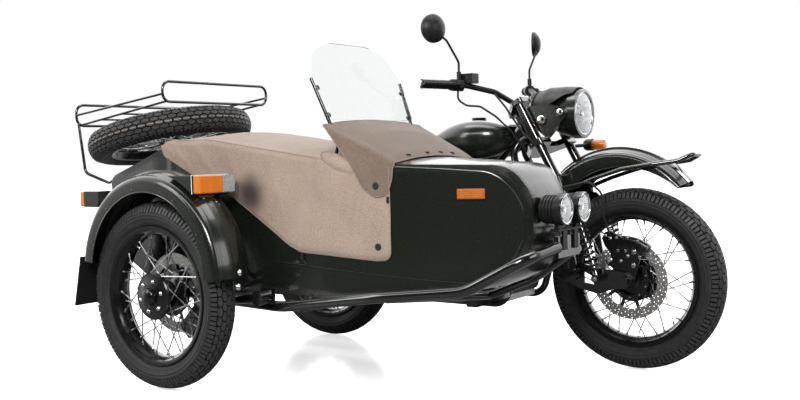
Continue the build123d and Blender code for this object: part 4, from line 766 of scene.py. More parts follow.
APRON = Cover(
    rounded_path([(795, 938), (895, 882), (1080, 791)], [0, 120, 0]),
    rounded_path([(795, 956), (925, 912), (1080, 820)], [0, 120, 0]),
    thinned(rounded_path([(806, 936), (812, 932), (856, 874), (905, 813), (929, 768), (957, 722),
                          (1000, 696), (1046, 704), (1062, 752), (1066, 790), (1072, 800)],
                         [0, 10, 300, 100, 300, 60, 34, 30, 60, 20, 0]), 7.0),
    lambda x: 7.0 if x < 1040 else 7.0 - 4.4 * min(1.0, (x - 1040) / 28), lambda x: 12.0,
    [((870, 880), (980, 730), 1.8, 14, -1), ((870, 880), (980, 730), 1.8, 14, 1)],
    1.5)
for cover_name, cover, fabric in (("tonneau", TONNEAU, CANVAS), ("screen_apron", APRON, APRON_CANVAS)):
    cloth = Shape()
    cloth_area = cover.build(cloth)
    sheet = place(cloth, cover_name + "_canvas", [fabric, HEM], "chassis", [cover_name], 60)
    thick = sheet.modifiers.new("thick", "SOLIDIFY")
    thick.thickness = 0.0016
    thick.offset = -1.0


# Snaps, boots and seams of the covers

def near_wall(x, z, out):
    """A place on the near side wall of the tub, some way out."""
    return at(x, TUB_Y - tub_half(x) - out, z)


def snap(shape, spot, axis, radius):
    """A press stud with a dished cap."""
    lathe(shape, spot - axis * 0.002, axis, [(radius, 0), (radius, 2.6), (radius * 0.86, 3.8),
                                             (radius * 0.62, 3.9), (radius * 0.5, 2.6), (radius * 0.2, 2.4)],
          24, 0)


snaps = Shape()
for x, z, out in ((1003, 733, 7.4), (1005, 532, 4.2)):
    snap(snaps, near_wall(x, z, out), NEAR, 12.0)
    snap(snaps, at(x, TUB_Y + tub_half(x) + out, z), FAR, 12.0)
for y in (-150, -40, 45, 120):
    height = crown_height(APRON.side, APRON.mid, 1056, y) + 6.2
    snap(snaps, at(1056, TUB_Y + y, height), Vector((0.12, 0, 1)), 9.0)
for x, z in ((696, 490), (1046, 687)):
    soft_block(snaps, near_wall(x, z, 5.0), (9, 6, 22), None, 2.0)
bar(snaps, near_wall(700, 478, 3.0), near_wall(712, 462, 2.0), 2.6, 8)
place(snaps, "cover_snaps", [SOFT_RUBBER], "chassis")


def boot_shape(side):
    """The pouch round a screen rod's foot: an oval, padded patch with a gathered edge."""
    shape = Shape()
    centre_x, centre_z = 858.0, 812.0
    rings = []
    for r in range(7):
        t = r / 6
        ring = []
        for n in range(36):
            a = 2 * pi * n / 36
            along, up = 66 * cos(a) * (1 - t), 30 * sin(a) * (1 - t)
            x = centre_x + along - up * 0.25
            z = centre_z + up - along * 0.34
            swell = 3.0 + 15.0 * sin(pi / 2 * t) + 2.0 * sin(9 * a) * t * (1 - t)
            ring.append(at(x, TUB_Y + side * (tub_half(x) + swell), z))
        rings.append(ring)
    shape.skin(rings, (False, True))
    pipe(shape, rings[0], 2.2, 8, 1, closed=True)
    return shape


boots = Shape()
for side in (-1, 1):
    boots.join(boot_shape(side))
boot_piece = place(boots, "screen_rod_boots", [CANVAS, HEM], "chassis")

seams = Shape()
for side in (-1, 1):
    line = [at(x, TUB_Y + side * (tub_half(x) + 4.3 - 22 * 0.3),
               crown_height(TONNEAU.side, TONNEAU.mid, x, tub_half(x)) + 0.6)
            for x in range(70, 780, 14)]
    pipe(seams, line, 1.1, 6, 0)
place(seams, "tonneau_seams", [HEM], "chassis")


# Edges of the tub

def tub_edge(side, grow=0.0):
    """The line where the tub's side meets its deck, round the nose, to its underside."""
    path = rounded_path([(1072, 794.5), (1221, 785), (1363, 773), (1402, 753), (1432, 722), (1462, 671),
                         (1473, 609), (1467, 556), (1445, 504), (1391, 447), (1305, 408), (1212, 394),
                         (1180, 390)],
                        [0, 300, 120, 120, 120, 150, 150, 150, 150, 200, 200, 200, 0], 6)
    return [at(p.x, TUB_Y + side * (tub_half(p.x) + grow), p.y) for p in thinned(path, 16)]


edges = Shape()
for side in (-1, 1):
    pipe(edges, tub_edge(side, -1.2), 3.4, 10, 0)
place(edges, "tub_edge_beads", [GREEN], "chassis")

band = Shape()
for side in (-1, 1):
    low_line = [at(x, TUB_Y + side * (tub_half(x) + 0.6), 469 - (x - 573) * 0.0699)
                for x in range(540, 1360, 20)]
    pipe(band, low_line, 1.6, 6, 0)
place(band, "tub_band_seam", [SATIN], "chassis")


# Fenders

def fender_rings(centre, radius, start, end, half, skirt, steps, shoulder, rib_half, rib_high):
    """A rounded fender section swept round centre; skirt gives how deep each side reaches at an angle."""
    rings = []
    for n in range(steps + 1):
        angle = radians(start + (end - start) * n / steps)
        depth = skirt(angle)
        flat = [(-half + 3, -depth - 2), (-half + 3, -depth), (-half, -depth)]
        edge_r = min(shoulder, max(4.0, depth - 16))
        for k in range(9):
            a = pi / 2 * k / 8
            flat.append((-half + edge_r * (1 - cos(a)), -14 - edge_r + edge_r * sin(a)))
        inner = half - edge_r
        for k in range(1, 11):
            y = -inner + (inner - rib_half) * k / 10
            flat.append((y, -14 * (abs(y) / inner) ** 2))
        flat += [(-rib_half + 3, rib_high * 0.9), (-rib_half + 6, rib_high), (0, rib_high + 0.6)]
        outline = flat + [(-y, d) for y, d in flat[-2::-1]]
        inside = [(y * (half - 2.6) / half, d - 2.6) for y, d in reversed(outline[2:-2])]
        rings.append([round_at(centre, radius + d, angle, y) for y, d in outline + inside])
    return rings


def fender_rim(shape, centre, radius_at, half, degrees, wire):
    """A rolled edge along both sides of a fender."""
    for y in (-half, half):
        line = [round_at(centre, radius_at(a), a, y) for a in map(radians, degrees)]
        pipe(shape, line, wire, 8, 0)


SIDE_FENDER = (155.0, -1140.0, 418.0)
SIDE_FENDER_R = 378.0
SIDE_FENDER_HALF = 84.5
FENDER_SKIRT = 74.0
FRONT_FENDER = (1443.0, 0.0, 486.0)
FRONT_FENDER_R = 350.0
FRONT_SKIRT_CENTRE = (1483.0, 456.0)
FRONT_SKIRT_R = 312.0
REAR_FENDER = (0.0, 0.0, AXLE_Z)
REAR_FENDER_R = 372.0

side_fender = Shape()
rings = fender_rings(SIDE_FENDER, SIDE_FENDER_R, 1, 173, SIDE_FENDER_HALF, lambda a: FENDER_SKIRT, 90, 24.0,
                     18, 4.0)
side_fender.skin(rings)
fender_rim(side_fender, SIDE_FENDER, lambda a: SIDE_FENDER_R - FENDER_SKIRT + 0.5, SIDE_FENDER_HALF - 1.5,
           range(1, 174, 2), 3.0)
for a, b in (((462, SIDE_FENDER[1] + 82, 452), (462, -970, 400)),
             ((30, SIDE_FENDER[1] + 82, 716), (30, -965, 716))):
    bar(side_fender, at(*a), at(*b), 9, 14, 1)
soft_block(side_fender, at(528, -1134, 412), (5, 46, 76), None, 2.0, 1)
bar(side_fender, at(526, -1120, 386), at(470, -985, 392), 8, 14, 1)
for y, z in ((-1130, 442), (-1137, 394)):
    lathe(side_fender, at(530.5, y, z), AHEAD, [(13, 0), (13, 3), (10.5, 8), (6.5, 11), (2, 12)], 22, 2)
soft_block(side_fender, at(404, -1150, 706), (16, 60, 10), None, 2.0, 1)
bolt(side_fender, at(404, -1166, 702), DOWN, 5, 6, 2)
for a in (30, 60, 100, 130, 158):
    spot = round_at(SIDE_FENDER, 316, radians(a), -84.2)
    lathe(side_fender, spot, NEAR, [(4.2, 0), (4.0, 1.4), (2.0, 2.0)], 12, 1)
place(side_fender, "sidecar_fender_skin", [GREEN, BLACK, CHROME], "chassis",
      ["sidecar_fender"], 40)


def front_skirt(angle):
    """How far under the crown the front fender's side reaches, down to its round lower edge."""
    for depth in range(14, 112):
        r = FRONT_FENDER_R - depth
        x = FRONT_FENDER[0] + r * cos(angle) - FRONT_SKIRT_CENTRE[0]
        z = FRONT_FENDER[2] + r * sin(angle) - FRONT_SKIRT_CENTRE[1]
        if hypot(x, z) <= FRONT_SKIRT_R:
            return max(18.0, depth)
    return 110.0


front_fender = Shape()
rings = fender_rings(FRONT_FENDER, FRONT_FENDER_R, 39, 147, 82.0, front_skirt, 70, 20.0, 24, 6.0)
front_fender.skin(rings)
fender_rim(front_fender, FRONT_FENDER, lambda a: FRONT_FENDER_R - front_skirt(a), 81.0, range(39, 148, 2),
           2.6)
place(front_fender, "front_fender_skin", [GREEN], "steering", ["front_fender"], 40)


# Lamps

def lamp(name, centre, radius, outer, depth, dome, body, slot, replaces, rim_finish, flutes):
    """A bright fluted reflector in a rim, with a bulb shield, under a domed glass."""
    glass, silver = Shape(), Shape()
    front = [(0.3, dome)] + [(radius * k / 12, dome * (1 - (k / 12) ** 2)) for k in range(1, 13)]
    back = [(r, d - 2.0) for r, d in reversed(front[:-1])]
    lathe(glass, centre, AHEAD, front + [(radius - 0.5, -1.5)] + back, 56, 0, ends=(False, False))
    place(glass, name + "_glass", [LAMP_GLASS], body, replaces, 40)
    rings = []
    for k in range(15):
        t = k / 14
        r = 8 + (radius - 10) * t
        ring = []
        for n in range(96):
            a = 2 * pi * n / 96
            y, z = r * cos(a), r * sin(a)
            drop = -depth * (1 - t ** 2) + 0.014 * radius * sin(flutes * a + 2.0 * sin(9 * t)) * sin(pi * t)
            ring.append(centre + Vector((drop - 2.5, y, z)) * MM)
        rings.append(ring)
    silver.skin(rings, (True, False))
    lathe(silver, centre + Vector((-depth * MM, 0, 0)), AHEAD,
          [(9, 0), (9, depth * 0.5), (6, depth * 0.62), (1, depth * 0.68)], 24, 1)
    lathe(silver, centre, AHEAD, [(radius - 2, -7), (radius + 2.0, -7), (radius + 2.0, 1.5), (radius, 3.2),
                                  (radius - 1.5, 2.8), (radius - 2, 0)], 64, 1, closed=True)
    lathe(silver, centre, AHEAD, [(radius + 1, -7), (outer, -7), (outer, 0.5), (outer - 1.5, 3.4),
                                  (radius + 3.5, 4.4), (radius + 1, 1.2)], 64, 2, closed=True)
    place(silver, name + "_reflector", [MIRROR, CHROME, rim_finish], body, (), 12)


HEADLAMP = at(1296, 0, 974)
lamp("headlamp", HEADLAMP, 80.0, 95.0, 7.5, 10.0, "steering", "lamp_glass", ["headlamp_lens"], BLACK, 10)
for n, y in enumerate((-754.0, -627.0)):
    lamp("fog_lamp_%d" % (n + 1), at(1584, y, 650), 43.5, 50.0, 7.0, 3.0, "chassis", "lamp_glass",
         ["fog_lenses"] if n == 0 else (), BLACK, 3)


# Hubs, caps and bolts of the wheels

def cap_shape():
    """The cover of a hub's open side: a dished plate with six domed nuts and the axle's round cap."""
    shape = Shape()
    lathe(shape, Vector(), NEAR, [(84, 40), (86, 42), (86, 47), (82, 51), (60, 53), (52, 56), (40, 57),
                                  (36, 58)], 64, 0)
    lathe(shape, Vector(), NEAR, [(34, 56), (34, 66), (31.5, 74), (26, 79), (16, 82), (5, 83)], 40, 0)
    for n in range(6):
        a = radians(15 + 60 * n)
        nut = [(9, 0), (9, 2.5), (7.5, 6), (4.5, 8.6), (1, 9.4)]
        lathe(shape, hub_place(56, a, -53.5), NEAR, nut, 16, 1)
    return shape


CAP = cap_shape()
FLIP = Matrix.Rotation(pi, 4, "Z")
for wheel_name, centre, turn, body in (("sidecar", SIDE_AXLE, None, "sidecar_wheel_body"),
                                       ("rear", REAR_AXLE, FLIP, "rear_wheel_body")):
    place(CAP.moved(placed_at(centre, turn)), wheel_name + "_hub_cap", [RIM, CHROME], body)


# Springs

def spring_unit(shape, start, end, coil_r, wire_r, turns, eye_r, eye_half):
    """A damper with a coil, stepped spring seats, a chrome rod, and an eye with its bolts at each end."""
    axis = (end - start).normalized()
    length = (end - start).length / MM
    lathe(shape, start, axis, [(coil_r * 0.42, 4), (coil_r * 0.42, length * 0.5),
                               (coil_r * 0.2, length * 0.5 + 2), (coil_r * 0.2, length - 4)], 20, 1)
    for t, flip in ((0.12, 1), (0.88, -1)):
        spot = start + axis * (length * t * MM)
        lathe(shape, spot, axis * flip, [(coil_r + 2, -4), (coil_r + 2.5, 0), (coil_r * 0.8, 1.2),
                                         (coil_r * 0.62, 7)], 28, 0)
    u, v = square_to(axis)
    points = []
    count = turns * 16
    for n in range(count + 1):
        t = n / count
        a = 2 * pi * turns * t
        along = length * (0.135 + 0.73 * t) * MM
        points.append(start + axis * along + (u * cos(a) + v * sin(a)) * ((coil_r - wire_r) * MM))
    pipe(shape, points, wire_r, 8, 0)
    for spot in (start, end):
        lathe(shape, spot - Vector((0, eye_half * MM, 0)), FAR, [(eye_r, 0), (eye_r, 2 * eye_half)], 24, 0)
        for sign in (-1, 1):
            bolt(shape, spot + Vector((0, sign * eye_half * MM, 0)), Vector((0, sign, 0)), 7, 6, 2)


front_springs = Shape()
for side in (-1, 1):
    spring_unit(front_springs, at(1400, side * 138, 352), at(1322, side * 138, 610), 24, 4.2, 9, 15, 16)
place(front_springs, "front_spring_units", [SPRING, CHROME, STEEL], "steering",
      ["front_shocks"])
rear_springs = Shape()
for side in (-1, 1):
    spring_unit(rear_springs, at(70, side * 186, 420), at(150, side * 186, 700), 26, 4.2, 9, 15, 18)
place(rear_springs, "rear_spring_units", [SPRING, CHROME, STEEL], "chassis", ["rear_shocks"])
side_spring = Shape()
spring_unit(side_spring, at(237, -1016, 392), at(157, -1016, 640), 20, 3.8, 8, 12, 10)
bar(side_spring, at(157, -1016, 640), at(157, -975, 640), 10, 16, 0)
place(side_spring, "sidecar_spring_unit", [SPRING, CHROME, STEEL], "chassis",
      ["sidecar_shock"])


# Side lamps and reflector

def ribbed_lens(name, finish_used, low, high, facing, replaces, pitch=6.0):
    """A lens block with upright ribs on its face."""
    shape = Shape()
    size = (high - low) / MM
    soft_block(shape, (low + high) / 2, (size.x, size.y, size.z), None, 3.0, 0)
    face = (high.x if facing > 0 else low.x) - facing * 0.0006
    count = int((size.y - 8) / pitch)
    for n in range(count + 1):
        y = low.y + (4 + n * (size.y - 8) / count) * MM
        bar(shape, Vector((face, y, low.z + 0.004)), Vector((face, y, high.z - 0.004)), 1.7, 8, 0)
    place(shape, name, [finish_used], "chassis", replaces, 30)


clear_low, clear_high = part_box("clear_lens")
front_low = Vector((clear_low.x, at(0, -1204, 0).y, clear_low.z))
front_high = Vector((clear_high.x, at(0, -1094, 0).y, clear_high.z))
ribbed_lens("front_amber_lens", AMBER, front_low, front_high, 1, ["amber_lenses"])
ribbed_lens("rear_amber_lens", AMBER, at(-234, -1202, 666), at(-208.3, -1100, 722), -1, ())
ribbed_lens("front_clear_lens", CLEAR, clear_low, clear_high, 1, ["clear_lens"])
lamp_trim = Shape()
for x, y, z, dy, dz, mark in ((391.5, -1120, 747.5, 174.5, 66.5, 0), (386, -1120, 747.5, 174.8, 66.8, 1),
                              (397.6, -1120, 747.5, 168, 61, 1)):
    soft_block(lamp_trim, at(x, y, z), (3.2 if mark == 0 else 1.8, dy, dz), None, 0.7, mark)
soft_block(lamp_trim, at(-206.5, -1151, 694), (2.4, 106.6, 60.6), None, 0.8, 1)
place(lamp_trim, "fender_lamp_trim", [GASKET, SOFT_RUBBER], "chassis")

reflector = Shape()
lean = atan2(tub_half(1256) - tub_half(1376), 120)
turned = Matrix.Rotation(lean, 4, "Z")
centre = at(1316, TUB_Y - tub_half(1316) - 5, 704)
soft_block(reflector, centre, (90, 8.0, 33), turned, 2.0, 1)
for side in (-1, 1):
    cell = centre + turned.to_3x3() @ Vector((side * 21.5, -3.0, 0)) * MM
    soft_block(reflector, cell, (40, 4.4, 29), turned, 1.6, 0)
    for n in range(6):
        for k in range(4):
            spot = cell + turned.to_3x3() @ Vector((-16.5 + 6.6 * n, -2.3, -10.5 + 7 * k)) * MM
            lathe(reflector, spot, turned.to_3x3() @ NEAR, [(3.1, 0), (1.4, 0.9), (0.2, 1.1)], 6, 0)
place(reflector, "side_reflector_cells", [AMBER_DEEP, AMBER_DEEP], "chassis",
      ["side_reflector"], 30)


# Seat

SEAT_CELL = 0.0065
SEAT_HELD = 0.022
BULGE_FRAMES = 20
BULGE_LIMIT = 0.009


def padded_seat():
    """The bench as inflated cloth: remeshed, blown up a little with its base held, then smoothed once."""
    data = NODES["seat"].data.copy()
    data.transform(NODES["seat"].matrix_world)
    low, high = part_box("seat")
    centre = (low + high) / 2
    for v in data.vertices:
        v.co = centre + Vector(((v.co.x - centre.x) * 0.975, (v.co.y - centre.y) * 0.94,
                                (v.co.z - centre.z) * 0.94))
    pad = bpy.data.objects.new("seat_padding", data)
    bpy.context.scene.collection.objects.link(pad)
    remesh = pad.modifiers.new("remesh", "REMESH")
    remesh.mode = "VOXEL"
    remesh.voxel_size = SEAT_CELL
    bake(pad)
    start = [v.co.copy() for v in pad.data.vertices]
    held = pad.vertex_groups.new(name="held")
    held.add([n for n, co in enumerate(start) if co.z < low.z + SEAT_HELD], 1.0, "REPLACE")
    cloth = pad.modifiers.new("cloth", "CLOTH")
    cloth.settings.quality = 5
    cloth.settings.vertex_group_mass = "held"
    cloth.settings.use_pressure = True
    cloth.settings.uniform_pressure_force = 4.0
    cloth.settings.effector_weights.gravity = 0.0
    cloth.point_cache.frame_start = 1
    cloth.point_cache.frame_end = BULGE_FRAMES
    for step in range(1, BULGE_FRAMES + 1):
        bpy.context.scene.frame_set(step)
    bake(pad)
    bpy.context.scene.frame_set(1)
    for v, co in zip(pad.data.vertices, start):
        move = v.co - co
        if move.length > BULGE_LIMIT:
            v.co = co + move * (BULGE_LIMIT / move.length)
    smooth = pad.modifiers.new("smooth", "SMOOTH")
    smooth.iterations = 6
    bake(pad)
    smoother = pad.modifiers.new("once", "SUBSURF")
    smoother.levels = 1
    bake(pad)
    return pad


def bake(item):
    """Applies an object's modifiers to its mesh."""
    seen = item.evaluated_get(bpy.context.evaluated_depsgraph_get())
    made = bpy.data.meshes.new_from_object(seen)
    item.modifiers.clear()
    item.data = made


pad = padded_seat()
pad.data.materials.clear()
pad.data.materials.append(VINYL)
for polygon in pad.data.polygons:
    polygon.use_smooth = True
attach(pad, "chassis")
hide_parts("seat")

SEAT_TREE = BVHTree.FromPolygons([v.co.copy() for v in pad.data.vertices],
                                 [tuple(p.vertices) for p in pad.data.polygons])


def on_seat(origin, ahead):
    """The place on the seat's skin that a ray from outside meets, just inside its surface."""
    spot, normal, _, _ = SEAT_TREE.ray_cast(origin, ahead)
    return spot - normal * 0.0004 if spot else None


piping = Shape()
for side in (-1, 1):
    line = [on_seat(at(x, side * 116, 1000), DOWN) for x in range(-172, 536, 12)]
    pipe(piping, [p for p in line if p], 2.2, 8, 0)
for x in (300, 180, 60, -60):
    line = [on_seat(at(x, y, 1000), DOWN) for y in range(-112, 113, 8)]
    pipe(piping, [p for p in line if p], 1.4, 6, 0)
place(piping, "seat_piping", [VINYL], "chassis")


# Lamp caps and signals

caps = Shape()
for side in (-1, 1):
    for x, z, r in ((1170, 953, 17.0), (1250, 980, 13.0)):
        lathe(caps, at(x, side * 115.4, z), Vector((0, side, 0)),
              [(r, 0), (r, 2.5), (r * 0.86, 5.0), (r * 0.4, 6.2), (1, 6.4)], 32, 0)
place(caps, "headlamp_ear_caps", [CHROME], "steering")


def signal(name, start, facing, body):
    """A long rounded lens, ribbed across, in a short dark base with a lip."""
    lens, base = Shape(), Shape()
    ahead = Vector((facing, 0, 0))
    profile = [(21.5, 0)]
    for k in range(11):
        profile += [(21.5, 2 + 4.6 * k), (20.7, 4.3 + 4.6 * k)]
    lathe(lens, start, ahead, profile + [(20.0, 54), (16.0, 58.4), (8.0, 60.2), (1.0, 60.6)], 40, 0)
    lathe(base, start - ahead * 0.036, ahead, [(9, 0), (19, 3), (24, 12), (24.4, 35), (24.8, 36), (24.8, 40),
                                               (22, 40)], 40, 0)
    place(lens, name + "_signal_amber", [AMBER], body, [name + "_signal_lens"], 30)
    return base


front_base = signal("front", at(1216, 246, 853), 1, "steering")
bar(front_base, at(1174, 136, 848), at(1200, 228, 853), 7.5, 14)
place(front_base, "front_signal_base", [PLASTIC], "steering", ["front_signal_cup"], 30)
rear_base = signal("rear", at(-381, 175, 662), -1, "chassis")
bar(rear_base, at(-363, 60, 662), at(-362, 158, 662), 7.5, 14)
place(rear_base, "rear_signal_base", [PLASTIC], "chassis", ["rear_signal_cup"], 30)


# Brakes

def disc_shape():
    """A drilled brake ring on a dark carrier with ten bobbins. Marks: 0 ring, 1 carrier, 2 bobbins."""
    shape = Shape()
    half = 2.4
    rows, columns = (108.0, 118.0, 127.5, 137.0, 147.0), 60
    for row in range(4):
        r0, r1 = rows[row], rows[row + 1]
        for n in range(columns):
            a0, a1 = 2 * pi * n / columns, 2 * pi * (n + 1) / columns
            am, rm = (a0 + a1) / 2, (r0 + r1) / 2
            rim = [(r0, a0), (r0, am), (r0, a1), (rm, a1), (r1, a1), (r1, am), (r1, a0), (rm, a0)]
            hole = []
            for r, a in rim:
                du, dv = (a - am) * rm, r - rm
                size = hypot(du, dv)
                hole.append((rm + 2.7 * dv / size, am + 2.7 * du / size / rm))
            open_cell = (n + row) % 2 == 0 or row in (1, 2) and n % 4 == 1
            for y in (half, -half):
                outer = [hub_place(r, a, y) for r, a in rim]
                inner = [hub_place(r, a, y) for r, a in hole]
                if open_cell:
                    shape.add(outer + inner, [(k, (k + 1) % 8, 8 + (k + 1) % 8, 8 + k) for k in range(8)], 0)
                else:
                    shape.add(outer, [tuple(range(8))], 0)
            if open_cell:
                wall = [[hub_place(r, a, y) for r, a in hole] for y in (half, -half)]
                shape.skin(wall, (False, False))
    for r in (rows[0], rows[-1]):
        lathe(shape, Vector(), FAR, [(r, -half), (r, half)], 120, 0, ends=(False, False))
    lathe(shape, Vector(), FAR, [(58, -2.2), (74, -2.2), (74, 2.2), (58, 2.2)], 72, 1, closed=True)
    for n in range(10):
        a = 2 * pi * n / 10
        out = Vector((cos(a), 0, sin(a)))
        side = Vector((-sin(a), 0, cos(a)))
        turn = Matrix((out, FAR, side)).transposed().to_4x4()
        soft_block(shape, out * 0.089, (34, 4.0, 13), turn, 1.2, 1)
        lathe(shape, out * 0.1075 - Vector((0, 0.0036, 0)), FAR,
              [(2.5, 0), (7.0, 0.2), (7.0, 7.0), (2.5, 7.2)], 16, 2)
        bolt(shape, hub_place(66, a + 0.3, -2.2), NEAR, 4, 3, 2, False)
    return shape


DISC_SHAPE = disc_shape()
for disc_name, body in (("front_disc", "front_wheel_body"), ("sidecar_disc", "sidecar_wheel_body")):
    drilled = DISC_SHAPE.moved(Matrix.Translation(middle(disc_name)))
    place(drilled, disc_name + "_drilled", [DISC, RIM, STEEL], body, [disc_name], 30)


def swept_block(shape, centre, first, last, section, steps, mark=0):
    """A section of (radius, y) points in mm swept round the Y line through centre, in degrees."""
    rings = []
    for n in range(steps + 1):
        a = radians(first + (last - first) * n / steps)
        pinch = 0.93 if n in (0, steps) else 1.0
        mid_r = sum(r for r, _ in section) / len(section)
        mid_y = sum(y for _, y in section) / len(section)
        rings.append([round_at(centre, mid_r + (r - mid_r) * pinch, a, mid_y + (y - mid_y) * pinch)
                      for r, y in section])
    shape.skin(rings, (True, True), mark)


def flat_plate(shape, outline, y0, y1, bevel, mark=0):
    """A plate along the bike from an (x, z) outline, with chamfered edges."""
    cx = sum(x for x, _ in outline) / len(outline)
    cz = sum(z for _, z in outline) / len(outline)
    rings = []
    for y, inset in ((y0, bevel), (y0 + bevel, 0.0), (y1 - bevel, 0.0), (y1, bevel)):
        ring = []
        for x, z in outline:
            length = hypot(x - cx, z - cz)
            k = (length - inset) / length
            ring.append(at(cx + (x - cx) * k, y, cz + (z - cz) * k))
        rings.append(ring)
    shape.skin(rings, (True, True), mark)


caliper = Shape()
BRAKE_CENTRE = (1483.0, -70.0, AXLE_Z)
near_half = [(108, -7.4), (112, -22), (118, -25.5), (156, -25.5), (164, -21), (167, -12), (167, 0),
             (167, 12), (163, 19), (156, 21.5), (112, 21.5), (108, 7.4), (150, 7.4), (152.5, 5), (152.5, -5),
             (150, -7.4)]
swept_block(caliper, BRAKE_CENTRE, 51, 99, near_half, 24)
for a in (60, 74.5, 89):
    spot = round_at(BRAKE_CENTRE, 136, radians(a), -24.5)
    lathe(caliper, spot, NEAR, [(15, -1), (14.6, 0.6), (12.5, 1.0), (11, 1.2), (3, 1.2)], 24, 0)
for a in (52.5, 67, 82, 97):
    for radius in (114, 161):
        bolt(caliper, round_at(BRAKE_CENTRE, radius, radians(a), -24.0), NEAR, 4.5, 4.0, 1)
hanger = [(1404, 500), (1418, 524), (1440, 528), (1480, 508), (1516, 488), (1548, 462), (1552, 420),
          (1541, 372), (1527, 332), (1502, 318), (1472, 326), (1460, 350), (1452, 400), (1436, 446),
          (1414, 474)]
flat_plate(caliper, hanger, -95.0, -87.0, 1.4)
lathe(caliper, at(BRAKE_CENTRE[0], -95, AXLE_Z), NEAR, [(33, -1), (32, 2.0), (26, 2.6), (25, -1)], 40, 0)
for x, z, r in ((1420, 510, 5.0), (1438, 500, 5.0), (1532, 452, 6.5), (1508, 436, 5.0), (1480, 416, 4.5),
                (1529, 402, 6.5), (1497, 340, 6.5), (1512, 336, 4.5)):
    bolt(caliper, at(x, -95, z), NEAR, r, 6.5, 1)
place(caliper, "brake_caliper_skin", [RIM, STEEL], "steering", ["brake_caliper"], 32)


# Mirrors, grips and dial

MIRROR_SPOT = (868.0, 402.7, 1307.0)
MIRROR_TURN = radians(21.0)


def grip_shape(side):
    """A rubber grip with rings, an end flange, and the metal weight in the bar's end."""
    shape = Shape()
    inner, outer = at(925, side * 262, 1094), at(820, side * 412, 1101)
    along = (outer - inner).normalized()
    start = outer - along * 0.1185
    profile = [(12, 0), (20.5, 0.2), (20.5, 5), (17.6, 6)]
    for n in range(22):
        ring = 4.9 * n
        profile += [(17.6, 8 + ring), (16.4, 9 + ring), (16.4, 11.6 + ring), (17.6, 12.4 + ring)]
    lathe(shape, start, along, profile + [(17.6, 117), (18.6, 118.5), (18.6, 122), (12, 123)], 32, 0)
    lathe(shape, start + along * 0.1225, along, [(13, 0), (13.5, 2), (12.5, 7), (6, 8.6), (1, 9)], 28, 1)
    return shape


glasses = Shape()
for side in (-1, 1):
    facing = Vector((-cos(MIRROR_TURN), -side * sin(MIRROR_TURN), 0))
    centre = at(MIRROR_SPOT[0], side * MIRROR_SPOT[1], MIRROR_SPOT[2])
    lathe(glasses, centre, facing, [(54, -2), (54.4, 1.2), (52.6, 2.6), (50, 2.2), (49.6, 0.8)], 56, 0)
    lathe(glasses, centre, facing, [(49.8, -0.5), (49.8, 0.9), (0.5, 1.6)], 56, 1)
place(glasses, "mirror_glasses", [PLASTIC, GLASS_FACE], "steering")

grips = Shape()
for side in (-1, 1):
    grips.join(grip_shape(side))
place(grips, "ribbed_grips", [SOFT_RUBBER, CHROME], "steering", ["grips"], 30)

DIAL_X = 1111.5
DIAL_Z = 1040
TICK_X = 1108.7
dial = Shape()
lathe(dial, at(DIAL_X, 0, DIAL_Z), BACK,
      [(31, -1), (31, 4), (28, 6), (26.5, 4.5), (26.5, 2.5)], 48, 0, ends=(True, False))
lathe(dial, at(DIAL_X, 0, DIAL_Z), BACK, [(26.5, 2.6), (0.5, 2.6)], 48, 1)
for n in range(25):
    a = radians(-40 + 260 * n / 24)
    inner = 20.0 if n % 4 == 0 else 22.5
    p, q = (at(TICK_X, r * cos(a), DIAL_Z + r * sin(a)) for r in (inner, 25.0))
    bar(dial, p, q, 0.55, 6, 2)
bar(dial, at(TICK_X - 0.5, 0, DIAL_Z), at(TICK_X - 0.5, -13, DIAL_Z + 13), 0.8, 6, 3)
lathe(dial, at(TICK_X - 0.3, 0, DIAL_Z), BACK, [(3.4, 0), (3.0, 1.4), (0.5, 1.8)], 16, 0)
place(dial, "speed_dial", [CHROME, DIAL, GASKET, RED_LENS], "steering")


# Tail of the bike

TAIL_LAMP = at(-407, 0, 700)
PLATE_MIDDLE_Z = 610
PLATE_SLOPE = 0.227
tail = Shape()
lathe(tail, TAIL_LAMP, BACK, [(41, 0), (41, 3.5), (38, 4.6)], 56, 1)
ribs = [(37.5, 4)]
for n in range(8):
    ribs += [(36.5 - 4.4 * n, 6.2), (34.8 - 4.4 * n, 5.2)]
lathe(tail, TAIL_LAMP, BACK, ribs + [(0.4, 6.0)], 56, 0)
plate_turn = Matrix.Rotation(radians(12.8), 4, "Y")
soft_block(tail, at(-409.6, 0, PLATE_MIDDLE_Z), (2.4, 112, 118), plate_turn, 0.8, 2)
for y in (-40, 40):
    for z in (572, 650):
        bolt(tail, at(-410.8 - (PLATE_MIDDLE_Z - z) * PLATE_SLOPE, y, z), BACK, 3.6, 3.0, 3)
place(tail, "tail_lens_and_blank_plate", [RED_LENS, PLASTIC, PLATE, STEEL], "chassis")

rear_fender = Shape()
rings = fender_rings(REAR_FENDER, REAR_FENDER_R, 30, 205, 88.0, lambda a: FENDER_SKIRT, 90, 22.0, 16, 0.0)
rear_fender.skin(rings)
fender_rim(rear_fender, REAR_FENDER, lambda a: REAR_FENDER_R - FENDER_SKIRT + 1, 86.0, range(31, 205, 2),
           2.4)
place(rear_fender, "rear_fender_skin", [GREEN], "chassis", ["rear_fender"], 40)


# Engine and exhaust trim

